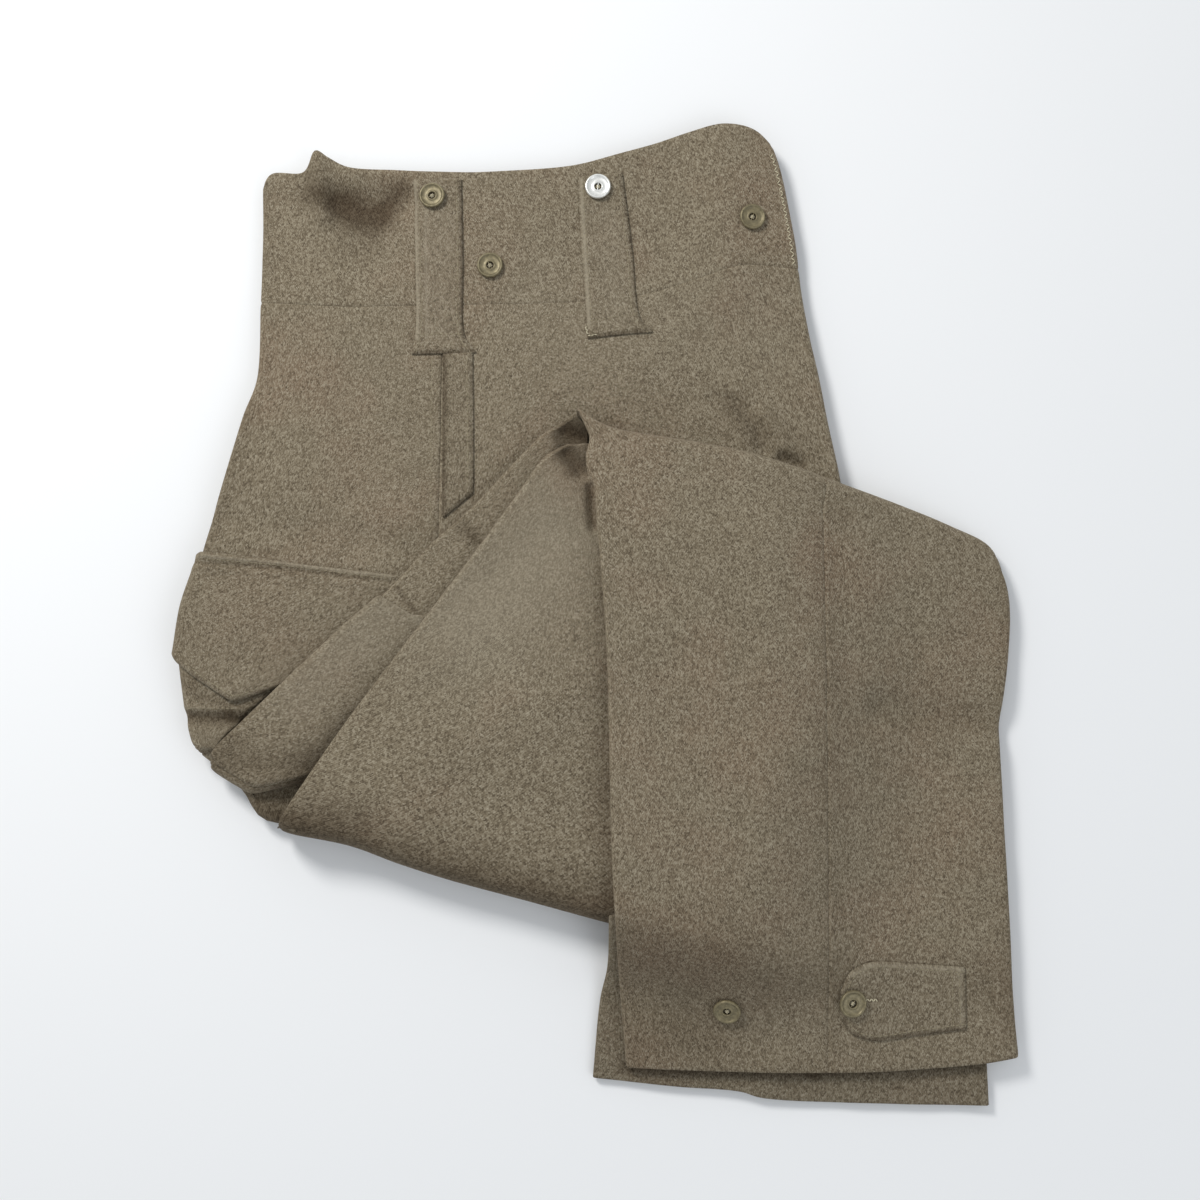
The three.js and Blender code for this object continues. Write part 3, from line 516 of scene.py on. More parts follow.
# %% Pieces
def new_piece(name, points, quads, look, uv=None, worn=None):
    """A mesh object from points in millimetres of the layout, set in the frame in metres."""
    mesh = bpy.data.meshes.new(name)
    p = (np.asarray(points, float) - (CENTRE[0], CENTRE[1], 0)) * MM
    mesh.from_pydata(p.tolist(), [], quads.tolist())
    if uv is not None:
        loops = np.zeros(len(mesh.loops), int)
        mesh.loops.foreach_get("vertex_index", loops)
        layer = mesh.uv_layers.new(name="cloth")
        layer.data.foreach_set("uv", (np.asarray(uv)[loops] * MM).ravel())
    # The cloth's painted light and shade: a point attribute that the serge material turns into darker or
    # paler colour.
    if worn is not None:
        layer = mesh.attributes.new("worn", "FLOAT", "POINT")
        layer.data.foreach_set("value", np.asarray(worn, float))
    mesh.polygons.foreach_set("use_smooth", np.ones(len(mesh.polygons), bool))
    mesh.materials.append(look)
    made = bpy.data.objects.new(name, mesh)
    scene.collection.objects.link(made)
    return made


def lengths(grid):
    """Running lengths along the columns and the rows, which are the cloth's own flat coordinates."""
    u = np.append(0, np.cumsum(np.linalg.norm(np.diff(grid, axis=1), axis=-1).mean(axis=0)))
    v = np.append(0, np.cumsum(np.linalg.norm(np.diff(grid, axis=0), axis=-1).mean(axis=1)))
    return np.dstack(np.meshgrid(u, v))


def grid_quads(rows, cols, first=0):
    """Quads of a grid whose faces look up."""
    a = (np.arange(rows - 1)[:, None] * cols + np.arange(cols - 1)[None, :]).ravel() + first
    return np.stack([a, a + cols, a + cols + 1, a + 1], axis=1)


def band(a, b):
    """Quads between two rings, given as the numbers of their points."""
    return np.stack([a, np.roll(a, -1), np.roll(b, -1), b], axis=1)


# %% Walls
TURNED_IN = 3.0
RIM_LEVELS = (0.35, 0.75)
RIM_BULGE = 0.7


def wall(name, grid, look, thick=CLOTH, lift=0.0, pillow=0.0, marks=()):
    """Cloth of that thickness under a face, with a rim of a few levels round its cut sides.

    Within TURNED_IN mm of a cut side the face sinks by pillow (1 - d / TURNED_IN)^2, as an edge that
    has been turned in does. marks is a table like those of the folds, of painted light and shade:
    towards 1 the cloth's colour is darkened as painted shade, and below 0 it is paled as a painted
    highlight.
    """
    rows, cols = grid.shape[:2]
    normal = grid_normals(grid)
    flat = lengths(grid)
    far = np.minimum(flat, flat[-1, -1] - flat).min(axis=-1)
    sink = pillow * np.clip(1 - far / TURNED_IN, 0, 1) ** 2
    outer = grid + normal * (lift - sink)[..., None]
    inner = grid + normal * (lift - thick)
    ring = np.concatenate([
        np.arange(cols), np.arange(1, rows) * cols + cols - 1,
        (rows - 1) * cols + np.arange(cols - 2, -1, -1), np.arange(rows - 2, 0, -1) * cols,
    ])
    upper_rim = outer.reshape(-1, 3)[ring]
    lower_rim = inner.reshape(-1, 3)[ring]
    side = np.roll(upper_rim, -1, axis=0) - np.roll(upper_rim, 1, axis=0)
    out = unit(np.cross(side, normal.reshape(-1, 3)[ring]))
    levels = []
    for share in RIM_LEVELS:
        bulge = 0.5 * thick * math.sin(math.pi * share) * RIM_BULGE
        levels.append(upper_rim * (1 - share) + lower_rim * share - out * bulge)
    points = np.vstack([outer.reshape(-1, 3), inner.reshape(-1, 3), *levels])
    n = len(ring)
    below = rows * cols
    quads = [grid_quads(rows, cols), grid_quads(rows, cols, below)[:, ::-1]]
    chain = [ring, *(2 * below + k * n + np.arange(n) for k in range(len(levels))), ring + below]
    for a, b in zip(chain, chain[1:]):
        quads.append(band(a, b))
    uv = flat.reshape(-1, 2)
    uv = np.vstack([uv, uv, *([uv[ring]] * len(levels))])
    # Painted shade (above 0) and painted highlight (below 0) for every point, from the marks.
    worn = relief(marks, points[:, 0], points[:, 1])
    made = new_piece(name, points, np.vstack(quads), look, uv, worn)
    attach(made, "root")
    return made


# %% [markdown]
# ## Wool serge
#
# The cloth is a heathered khaki: light and dark fibres are spun together, so from near it is a fine
# speckle, and from afar it is an even brown-grey with faint warmer patches. Several materials use
# that speckle and the twill's relief, so both are one shader node group, and each material sets its
# own colours on it.


# %% The serge node group
def add_node(tree, kind, **values):
    """A node of that kind with its sockets set by name, or by number for names like i0."""
    made = tree.nodes.new(kind)
    for key, value in values.items():
        if key.startswith("i") and key[1:].isdigit():
            made.inputs[int(key[1:])].default_value = value
        elif key in made.inputs:
            made.inputs[key].default_value = value
        else:
            setattr(made, key, value)
    return made


def mix_colour(tree, factor, a, b, kind="MIX"):
    """A colour mix whose factor, a and b are sockets or values; returns the result's socket."""
    made = tree.nodes.new("ShaderNodeMix")
    made.data_type, made.blend_type = "RGBA", kind
    for socket, value in ((made.inputs[0], factor), (made.inputs[6], a), (made.inputs[7], b)):
        if isinstance(value, bpy.types.NodeSocket):
            tree.links.new(value, socket)
        else:
            socket.default_value = value
    return made.outputs[2]


def maths(tree, operation, a, b=0.0, clamp=False):
    """One arithmetic node on sockets or numbers; returns the result's socket."""
    made = add_node(tree, "ShaderNodeMath", operation=operation, use_clamp=clamp)
    for socket, value in zip(made.inputs, (a, b)):
        if isinstance(value, bpy.types.NodeSocket):
            tree.links.new(value, socket)
        else:
            socket.default_value = value
    return made.outputs[0]


def swing(tree, socket, gain, middle=0.5, clamp=False):
    """(value - middle) gain, for a noise that should swing both ways."""
    return maths(tree, "MULTIPLY", maths(tree, "SUBTRACT", socket, middle), gain, clamp=clamp)


CLOTH_COLOURS = {
    "Ground": (122, 111, 92), "Pale fibre": (158, 149, 130), "Dark fibre": (74, 64, 51),
    "Warm patch": (127, 107, 88),
}
RIB_WIDTH = 0.0023
# The tint that painted shade multiplies into the cloth's colour.
PAINTED_SHADE_TINT = (0.38, 0.34, 0.31, 1.0)

weave = bpy.data.node_groups.new("heathered twill", "ShaderNodeTree")
for name in CLOTH_COLOURS:
    weave.interface.new_socket(name, in_out="INPUT", socket_type="NodeSocketColor")
for name in ("Speckle", "Patches", "Worn"):
    weave.interface.new_socket(name, in_out="INPUT", socket_type="NodeSocketFloat")
weave.interface.new_socket("Color", in_out="OUTPUT", socket_type="NodeSocketColor")
weave.interface.new_socket("Height", in_out="OUTPUT", socket_type="NodeSocketFloat")
given = weave.nodes.new("NodeGroupInput")
result = weave.nodes.new("NodeGroupOutput")
space = add_node(weave, "ShaderNodeTexCoord")
cloth_uv = add_node(weave, "ShaderNodeUVMap", uv_map="cloth")

fibre = add_node(weave, "ShaderNodeTexNoise", Scale=1500.0, Detail=2.0, Roughness=0.6)
cloud = add_node(weave, "ShaderNodeTexNoise", Scale=420.0, Detail=2.0, Roughness=0.6)
patches = add_node(weave, "ShaderNodeTexNoise", Scale=11.0, Detail=3.0, Roughness=0.55)
for texture in (fibre, cloud, patches):
    weave.links.new(space.outputs["Object"], texture.inputs["Vector"])

# Single fibres are random cells, longer along the cloth than across it.
stretch = add_node(weave, "ShaderNodeVectorMath", operation="MULTIPLY", i1=(1.0, 0.6, 1.0))
weave.links.new(cloth_uv.outputs["UV"], stretch.inputs[0])
fleck = add_node(weave, "ShaderNodeTexVoronoi", Scale=1350.0, voronoi_dimensions="2D")
weave.links.new(stretch.outputs[0], fleck.inputs["Vector"])
one_fleck = add_node(weave, "ShaderNodeSeparateXYZ")
weave.links.new(fleck.outputs["Color"], one_fleck.inputs[0])

# The twill's ribs run slantwise over the cloth.
parts = add_node(weave, "ShaderNodeSeparateXYZ")
weave.links.new(cloth_uv.outputs["UV"], parts.inputs[0])
slant = maths(weave, "ADD", maths(weave, "MULTIPLY", parts.outputs[0], 1.5), parts.outputs[1])
ribs = maths(weave, "SINE", maths(weave, "MULTIPLY", slant, 2 * math.pi / RIB_WIDTH))

# Light is above 0 where the fibres are pale and below 0 where they are dark.
light = swing(weave, one_fleck.outputs[0], 1.25)
light = maths(weave, "ADD", light, swing(weave, fibre.outputs["Fac"], 1.6))
light = maths(weave, "ADD", light, swing(weave, cloud.outputs["Fac"], 1.5))
light = maths(weave, "ADD", light, maths(weave, "MULTIPLY", ribs, 0.10))
light = maths(weave, "MULTIPLY", light, given.outputs["Speckle"])
pale = maths(weave, "MULTIPLY", light, 1.0, clamp=True)
dark = maths(weave, "MULTIPLY", light, -1.0, clamp=True)
warm = swing(weave, patches.outputs["Fac"], 5.0, clamp=True)
warm = maths(weave, "MULTIPLY", warm, given.outputs["Patches"])

colour = mix_colour(weave, warm, given.outputs["Ground"], given.outputs["Warm patch"])
colour = mix_colour(weave, pale, colour, given.outputs["Pale fibre"])
colour = mix_colour(weave, dark, colour, given.outputs["Dark fibre"])
# Painted shade: where the attribute is above 0 the colour is darkened by the tint.
worn = maths(weave, "MULTIPLY", given.outputs["Worn"], 1.0, clamp=True)
colour = mix_colour(weave, worn, colour, PAINTED_SHADE_TINT, "MULTIPLY")
# Painted highlight: where the attribute is below 0 the colour is paled towards the pale fibre.
rubbed = maths(weave, "MULTIPLY", given.outputs["Worn"], -1.0, clamp=True)
colour = mix_colour(weave, rubbed, colour, given.outputs["Pale fibre"])
weave.links.new(colour, result.inputs["Color"])
high = maths(weave, "ADD", maths(weave, "MULTIPLY", ribs, 0.22), maths(weave, "MULTIPLY", light, 0.5))
weave.links.new(high, result.inputs["Height"])
print("group", weave.name, "has", len(weave.nodes), "nodes")


# %% Cloth materials
def srgb(red, green, blue):
    """A linear colour from 0 to 255 screen values."""
    c = np.array([red, green, blue]) / 255
    linear = np.where(c <= 0.04045, c / 12.92, ((c + 0.055) / 1.055) ** 2.4)
    return (*linear.tolist(), 1.0)


def serge(name, shade=1.0, speckle=1.0, patch_share=0.5):
    """Matte wool: the speckled group, a fine bump and a soft sheen from the raised nap."""
    look, tree, bsdf = new_look(name)
    group = tree.nodes.new("ShaderNodeGroup")
    group.node_tree = weave
    for socket, rgb in CLOTH_COLOURS.items():
        group.inputs[socket].default_value = srgb(*(c * shade for c in rgb))
    group.inputs["Speckle"].default_value = speckle
    group.inputs["Patches"].default_value = patch_share
    # The painted light and shade that each wall carries, read from its point attribute.
    worn = add_node(tree, "ShaderNodeAttribute", attribute_name="worn")
    tree.links.new(worn.outputs["Fac"], group.inputs["Worn"])
    bump = add_node(tree, "ShaderNodeBump", Strength=0.55, Distance=0.00035)
    tree.links.new(group.outputs["Height"], bump.inputs["Height"])
    tree.links.new(bump.outputs["Normal"], bsdf.inputs["Normal"])
    tree.links.new(group.outputs["Color"], bsdf.inputs["Base Color"])
    bsdf.inputs["Roughness"].default_value = 0.95
    bsdf.inputs["Specular IOR Level"].default_value = 0.15
    bsdf.inputs["Sheen Weight"].default_value = 0.22
    bsdf.inputs["Sheen Roughness"].default_value = 0.55
    bsdf.inputs["Sheen Tint"].default_value = srgb(190, 178, 156)
    return look


wool = serge("serge")
wool_trim = serge("serge on the trim", shade=0.97, patch_share=0.3)
wool_cuff = serge("serge inside the cuffs", shade=0.9, patch_share=0.2)
print("materials:", [m.name for m in bpy.data.materials])

# %% [markdown]
# ## The first run: waistband, front and seat
#
# The left front and the left back meet at the side seam, and the waistband is sewn along both. Each
# is a piece of its own, with a hair's breadth between two pieces where the seam draws them down.

# %% Waistband, front and seat
PI = math.pi
TURN = 0.72 * PI
SIDE_SEAM_X = -117.0
SEAM = 0.0012
# Painted light and shade on the hip: painted shade in the waistband's dent, along the left edge, in the
# troughs near the back and under the pocket, and one faint painted highlight.
HIP_MARKS = [
    (-216, 311, -194, 308, 11, 0.65), (-190, 303, -168, 296, 13, 0.9), (-163, 303, -150, 318, 9, 0.75),
    (-186, 288, -172, 282, 14, 0.3), (-222, 336, -212, 318, 9, 0.25), (-262, 330, -262, 190, 14, 0.24),
    (-268, 140, -305, -30, 14, 0.3), (92, 153, 115, 126, 8, 0.32), (131, 111, 144, 107, 3.5, 0.4),
    (96, 146, 140, 120, 20, 0.14), (-14, 140, 20, 126, 8, 0.2), (-60, 230, 120, 205, 40, -0.05),
    (-296, -76, -250, -83, 6, 0.6), (-290, -100, -262, -104, 13, 0.4),
]


def hip_drop(z):
    """A crease is as deep as the leg is thick there."""
    return np.minimum(9.0, z * 0.43)


def on_table(x, y):
    """The height of a single cloth that lies on the table."""
    return 0 * x + CLOTH


def between_shares(low, high):
    """The same reach on every row, as shares across the plan."""
    return lambda v: (0 * v + low, 0 * v + high)


def before(plan, x):
    """From a plan's left side to a seam at x."""
    return lambda v: (0 * v, share_at_x(plan, x, v) - SEAM)


def past(plan, x):
    """From a seam at x to a plan's right side."""
    return lambda v: (share_at_x(plan, x, v) + SEAM, 0 * v + 1)


waistband_left = wall(
    "waistband_left_cloth",
    face(band_plan, thigh_height, stations(220, TURN, TURN), stations(56), rows=(0, 0.996), drop=hip_drop),
    wool, marks=HIP_MARKS, pillow=0.5,
)
waistband_right = wall(
    "waistband_right_cloth",
    face(band_plan, on_table, stations(90), stations(20), between_shares(0.012, 1.016), rows=(0.02, 1)),
    wool,
)
front_thigh = wall(
    "left_front_thigh_cloth",
    face(thigh_plan, thigh_height, stations(100, TURN, 0), stations(190, 0, 0.6 * PI),
         before(thigh_plan, SIDE_SEAM_X), rows=(SEAM, 1), drop=hip_drop, end_drop=12.0, corner=2.0),
    wool, marks=HIP_MARKS, pillow=0.5,
)
back_seat = wall(
    "left_back_seat_cloth",
    face(thigh_plan, thigh_height, stations(150, 0, TURN), stations(100), past(thigh_plan, SIDE_SEAM_X),
         rows=(SEAM, 0.91), drop=hip_drop),
    wool, marks=HIP_MARKS, pillow=0.5,
)

# %% [markdown]
# ## The second run
#
# Past the lower fold the legs turn over. The inner side of the left leg shows as a strip, and the
# right leg lies on top of it, so its outer side is the broad face in the middle.

# %% Strip and knee
# Painted shade in the hollows at the top of the strip, towards its foot and beside the knee's lower edge, and
# a dark line at the pocket foot's edge.
STRIP_MARKS = [
    (-99, 57, -88, 46, 5.5, 0.5),
    (-24, 130, -8, 122, 9, 1.0), (-24, 112, -14, 98, 9, 0.5), (-150, -62, -205, -132, 15, 0.5),
    (-280, -112, -206, -112, 15, 0.4), (-292, -104, -262, -92, 14, 0.3),
    (-240, -122, -200, -100, 20, 0.3), (-145, 13, -126, -10, 1.6, 0.6),
]
# Painted shade in the knee's hollow and slit, along its lower fold and beside the shin's edge, and a broad
# painted highlight on its upper part.
KNEE_MARKS = [
    (-24, 110, -15, 101, 8, 0.85), (-6.6, 82, -4.4, 57, 2.4, 0.55), (-215, -166, 20, -224, 24, 0.9),
    (-226, -150, -170, -150, 18, 0.3), (4, -90, 8, -200, 9, 0.25), (0, 30, 4, -60, 5, 0.2),
    (-90, -10, -30, 50, 45, -0.28),
]
KNEE_TUCK_X = 24.0
strip_face = face(
    strip_plan, strip_height, stations(32, TURN, 0), stations(160, 0, PI / 2), drop=7.0, spread=3.0,
    end_spread=6.0, end_drop=22.0, corner=4.0,
)
inner_knee = wall("left_inner_knee_cloth", strip_face, wool, marks=STRIP_MARKS)


def to_tuck(v):
    """The knee's cloth ends a little under the shin."""
    return 0 * v, share_at_x(knee_plan, KNEE_TUCK_X, v)


def lower_fold_drop(z):
    """The lower fold comes down almost to the table."""
    return z * 0.95


front_knee = wall(
    "right_front_knee_cloth",
    face(knee_plan, knee_height, stations(130, TURN, 0), stations(190, 0.6 * PI, 0.8 * PI), to_tuck,
         drop=5.0, end_spread=12.0, end_drop=lower_fold_drop, start=(2.5, 7.0), corner=2.5),
    wool, marks=KNEE_MARKS,
)

# %% [markdown]
# ## The third run
#
# The left shin is on top, front and back, with its side seam between. At the hem the cloths step
# back one by one: the left leg's inner side, then the two sides of the right leg.

# %% Shins and cuffs
# Painted shade on the shin towards the cuffs, in its step-down band and along its right side.
SHIN_MARKS = [
    (12, -240, 84, -252, 34, 0.46), (14, -298, 74, -302, 24, 0.36), (120, -262, 290, -262, 18, 0.24),
    (110, -318, 290, -318, 12, 0.12), (198, -76, 296, -84, 8, 0.2), (294, 30, 284, -300, 9, 0.18),
    (160, 60, 160, -300, 10, 0.12),
]
# Painted shadow: the dark line under the hem, painted onto the cuffs below it.
STEP_MARKS = [(17, -320, 146, -323, 4.5, 0.8), (146, -323, 288, -314, 4.5, 0.8)]
SHIN_SEAM_X = 156.0
SHIN_ROLL = 7.0


def fold_spread(share):
    """The upper fold is crisp at its inner corner and round further out."""
    return 3.5 + 7.5 * smooth(share / 0.3)


def fold_drop(z):
    """The upper fold rolls down over the legs below it."""
    return np.minimum(34.0, z * 0.8)


def above(height, rise):
    """The surface that lies rise above another."""
    return lambda x, y: height(x, y) + rise


front_shin = wall(
    "left_front_shin_cloth",
    face(shin_plan, shin_height, stations(100, TURN, 0), stations(230, 0.7 * PI, 0),
         before(shin_plan, SHIN_SEAM_X), spread=3.0, end_spread=fold_spread, drop=SHIN_ROLL,
         end_drop=fold_drop),
    wool, marks=SHIN_MARKS, pillow=0.4,
)
back_shin = wall(
    "left_back_shin_cloth",
    face(shin_plan, shin_height, stations(80, 0, TURN), stations(230, 0.7 * PI, 0),
         past(shin_plan, SHIN_SEAM_X), end_spread=11.0, drop=SHIN_ROLL, end_drop=fold_drop, corner=3.0),
    wool, marks=SHIN_MARKS, pillow=0.4,
)
inner_cuff = wall(
    "left_inner_cuff_cloth",
    face(shin_plan, above(shin_height, -CUFF_STEP["left_inner"]), stations(120), stations(14),
         between_shares(0.03, 0.97), rows=(0.93, 0.994)),
    wool_cuff, marks=STEP_MARKS,
)
right_inner = wall(
    "right_inner_cuff_cloth",
    face(cuff_plan, above(shin_height, -CUFF_STEP["right_inner"]), stations(110, TURN, TURN),
         stations(50), drop=5.0, spread=3.2),
    wool_cuff, marks=STEP_MARKS,
)
right_outer = wall(
    "right_outer_cuff_cloth",
    face(cuff_plan, on_table, stations(90), stations(24), between_shares(0.012, 0.988), rows=(0.1, 0.985)),
    wool_cuff,
)

# %% [markdown]
# ## The layers that nothing shows
#
# Between the visible cloths lie the other halves of both legs. Nobody sees more than their rounded
# edges, so one padded form stands for them: its top follows the cloth above, and its side has a lip
# for each folded leg.

# %% Hidden layers
PAD_CLEAR = 1.6
PAD_TOP_REACH = 0.95
UNDER_SHIN_X = 10
UNDER_SHIN_GAP = 3.5
STEP_SHADE = [(-252, -142, -222, -150, 18, 0.8)]


def pad(plan, height, inset, round_in, lips, lip_deep, steps=64, levels=20):
    """Points, quads and flat coordinates of a pad.

    It has rings round the rim, and a grid over the top and one over the bottom. A ring at the share
    k of the height is moved in by inset + round_in (1 - sqrt(1 - (2k - 1)^2)) + lip_deep (1 -
    |sin(pi lips k)|). The flat coordinates lay the side outwards from the top's rim.
    """
    t = np.arange(steps) / steps
    rim_u = np.concatenate([t, 0 * t + 1, 1 - t, 0 * t])
    rim_v = np.concatenate([0 * t, t, 0 * t + 1, 1 - t])
    outline = plan(rim_u, rim_v)
    along = np.roll(outline, -2, axis=0) - np.roll(outline, 2, axis=0)
    inward = unit(np.stack([along[:, 1], -along[:, 0]], axis=1))
    k = np.linspace(0, 1, levels + 1)[:, None, None]
    rounding = round_in * (1 - np.sqrt(1 - (2 * k - 1) ** 2))
    lip = lip_deep * (1 - np.abs(np.sin(PI * lips * k)))
    rings = outline + inward * (inset + rounding + lip)
    z = (height(rings[..., 0], rings[..., 1]) - CLOTH - PAD_CLEAR) * (1 - k[..., 0])
    rings = np.dstack([rings, z])
    share = 0.5 + (np.linspace(0, 1, steps + 1) - 0.5) * PAD_TOP_REACH
    inside = plan(share[None, 1:-1], share[1:-1, None])
    index = np.zeros((steps + 1, steps + 1), int)
    cells = (np.round(rim_v * steps).astype(int), np.round(rim_u * steps).astype(int))
    n = 4 * steps
    index[cells] = np.arange(n)
    index[1:-1, 1:-1] = (levels + 1) * n + np.arange((steps - 1) ** 2).reshape(steps - 1, -1)
    top_z = height(inside[..., 0], inside[..., 1]) - CLOTH - PAD_CLEAR
    points = np.vstack([grid.reshape(-1, 3) for grid in (
        rings, np.dstack([inside, top_z]), np.dstack([inside, 0 * top_z]),
    )])
    quad = np.stack([index[:-1, :-1], index[1:, :-1], index[1:, 1:], index[:-1, 1:]], axis=-1)
    quad = quad.reshape(-1, 4)
    under = np.where(quad < n, quad + levels * n, quad + (steps - 1) ** 2)[:, ::-1]
    ring = np.arange(n)
    sides = [band(ring + a, ring + a + n) for a in np.arange(levels) * n]
    unrolled = rings[:1, :, :2] - inward * (z[:1] - z)[..., None]
    flat = np.vstack([unrolled.reshape(-1, 2), inside.reshape(-1, 2), inside.reshape(-1, 2)])
    return points, np.vstack([quad, under, *sides]), flat


hip_left, hip_right = edge(BAND_LEFT + FRONT_CREASE[1:]), edge(BAND_RIGHT + BACK_SEAM[1:])
thigh_pad = patch(edge(WAIST_EDGE), edge(THIGH_PAD_FOOT), hip_left, hip_right)
shin_pad = patch(
    edge(SHIN_PAD_CORNER + UPPER_FOLD[4:]), edge(SHIN_PAD_FOOT),
    edge(SHIN_PAD_CORNER[:1] + SHIN_LEFT[6:]), edge(SHIN_RIGHT),
)


def under_shin(x, y):
    """The knee's height, kept below the shin where that lies on it."""
    knee = knee_height(x, y)
    return np.where(x > UNDER_SHIN_X, np.minimum(knee, shin_height(x, y) - UNDER_SHIN_GAP), knee)


pads = [
    pad(thigh_pad, thigh_height, 3.0, 5.0, 2, 1.6),
    pad(knee_plan, under_shin, 4.0, 12.0, 3, 1.0),
    pad(shin_pad, shin_height, 3.6, 8.0, 3, 1.5),
]
first = np.cumsum([0] + [len(points) for points, _, _ in pads])
form_points = np.vstack([points for points, _, _ in pads])
form_quads = np.vstack([quads + start for (_, quads, _), start in zip(pads, first)])
form_flat = np.vstack([flat for _, _, flat in pads])
# Painted shade on the form where it shows below the strip's foot and the knee's corner.
form_worn = relief(STEP_SHADE, form_points[:, 0], form_points[:, 1])
hidden = new_piece("hidden_layers_form", form_points, form_quads, wool, form_flat, form_worn)
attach(hidden, "root")
print("hidden layers:", len(hidden.data.polygons), "faces")

# %% [markdown]
# ## Trim
#
# Belt loops, the pocket's flap, its body and the ankle tab are cloth folded double and pressed, so
# each lies a cloth's thickness above what carries it, with its edges turned in. Most are a patch
# between two side tables, and the flap and the tab have a table for their top and bottom too.

# %% Trim tables
# Each pair of tables holds the left and the right side, from the top down.
SIDE_LOOP = (
    [(-140, 323), (-137, 262), (-136, 202.5), (-139, 189)],
    [(-105, 324), (-103, 262), (-101, 202.5), (-92.5, 190)],
)
BACK_LOOP = (
    [(-17, 325), (-14, 268), (-10, 210), (-10, 201)],
    [(15, 328), (22, 271), (28, 215), (37, 205)],
)
SIDE_WELT = (
    [(-115.6, 188), (-114.6, 120), (-113.6, 66)],
    [(-95, 190), (-93.5, 130), (-93, 84)],
)
POCKET = (
    [(-299, -8), (-301.5, -29), (-298, -58), (-293.5, -82), (-288, -104)],
    [(-205, -33), (-216, -43), (-234, -60), (-253.5, -77.5), (-278, -103)],
)
FLAP_TOP = [(-291, 41), (-272, 39.2), (-231, 34.6), (-199, 29.4), (-136, 22)]
FLAP_BOTTOM = [
    (-305, -35), (-296, -42.3), (-288, -48.8), (-275, -57.5), (-264, -64.6), (-260, -66.3), (-255, -66.2),
    (-240, -60.8), (-227, -56),
]
FLAP_LEFT = [(-291, 41), (-301.5, 4), (-306, -34)]
FLAP_RIGHT = [(-136, 22), (-164, -5), (-195, -32), (-227, -56)]
TAB_TOP = [(165, -266), (172, -253.5), (186, -247.5), (218, -249), (251, -251)]
TAB_BOTTOM = [(165, -283), (172, -294.5), (188, -299.5), (218, -296), (251, -292)]
FLAP_FOLDS = [
    (-296, 38.5, -231, 32.5, 1.6, 1.3), (-231, 32.5, -146, 22.5, 1.6, 1.3),
    (-298, 33.5, -231, 28.5, 1.4, -0.8), (-231, 28.5, -150, 18.5, 1.4, -0.8),
    (-299, 29, -231, 24, 2.2, 0.6), (-231, 24, -155, 14, 2.2, 0.6),
    (-292, -42, -260, -62, 9, 1.6), (-260, -62, -228, -52, 9, 1.6),
]
# Painted light and shade on the flap: dark lines in the troughs along its seam, painted highlights on its
# ridges, and painted shade at its left side.
FLAP_MARKS = [
    (-292, 43, -231, 37.5, 2.2, 0.3), (-231, 37.5, -146, 27, 2.6, 0.55),
    (-299, 33.5, -231, 28.5, 1.5, 0.3), (-231, 28.5, -150, 18.5, 1.5, 0.35),
    (-290, 37.5, -231, 32.5, 1.3, -0.35), (-231, 32.5, -150, 22.5, 1.3, -0.45),
    (-305, 20, -306, -30, 10, 0.2),
]
# Painted highlight on the pocket's pale line, and painted shade in the trough below it and under the flap.
POCKET_MARKS = [
    (-296, -71.5, -256, -71.8, 1.1, -0.45), (-296, -77, -250, -80, 4.5, 0.75),
    (-300, -52, -262, -74, 5, 0.35), (-262, -74, -232, -62, 5, 0.4),
]
# Painted highlights at the pocket foot's top edge and across its upper part, and painted shade towards its
# foot.
FOOT_MARKS = [
    (-150, 12, -128, -12, 3, -0.3), (-150, 0, -210, -60, 24, -0.2), (-292, -104, -262, -92, 14, 0.3),
    (-150, -62, -205, -132, 15, 0.5), (-280, -112, -206, -112, 15, 0.4),
]
# Painted highlights along the loops' left edges and middles, and painted shade along their right and lower
# edges.
LOOP_MARKS = [
    (-104, 322, -101.5, 200, 1.3, 0.6), (-139, 322, -135, 200, 1.6, -0.6),
    (-139, 190, -93, 191, 1.6, 0.4), (17, 325, 30, 208, 1.3, 0.5), (-10, 202, 37, 206, 1.3, 0.4),
    (-15, 322, -9, 210, 1.6, -0.6), (-131, 318, -128, 200, 1.2, -0.3),
    (-121, 290, -119, 210, 14, -0.12), (3, 290, 12, 215, 14, -0.12),
]
# Painted shade in the side pocket's slit.
WELT_MARKS = [(-115, 188, -113.6, 60, 2.2, 0.8)]
# Painted shade under the tab's lower edge and left end, and painted highlights along its top and right end.
TAB_MARKS = [
    (172, -296, 188, -300, 1.6, 0.6), (188, -299, 251, -292, 1.6, 0.6),
    (164, -272, 168, -290, 1.6, 0.4), (172, -255, 186, -249, 1.6, -0.4),
    (186, -249, 251, -252, 1.6, -0.4), (248, -252, 248, -291, 1.3, -0.4),
]
TRIM = 2.2
SEAT = 0.6
# Where the flap starts to climb the pocket, how far down that takes, and how high it gets.
FLAP_STEP = (30, 34, 2.7)
# The rows of the strip that the pocket covers.
FOOT_ROWS = slice(84, -9)


def between(left, right):
    """A patch between two side tables, with straight ends."""
    return patch(line(left[0], right[0]), line(left[-1], right[-1]), edge(left), edge(right))


def flap_height(x, y):
    """The flap lies on the front, and lower down on the pocket too; two ridges run along its seam."""
    on_pocket = FLAP_STEP[2] * smooth((FLAP_STEP[0] - y) / FLAP_STEP[1])
    return thigh_height(x, y) + TRIM + SEAT + on_pocket + relief(FLAP_FOLDS, x, y)


def trim(name, outer, pillow, marks):
    """A wall of trim cloth, which is folded double and so a little thicker."""
    return wall(name, outer, wool_trim, thick=TRIM, pillow=pillow, marks=marks)


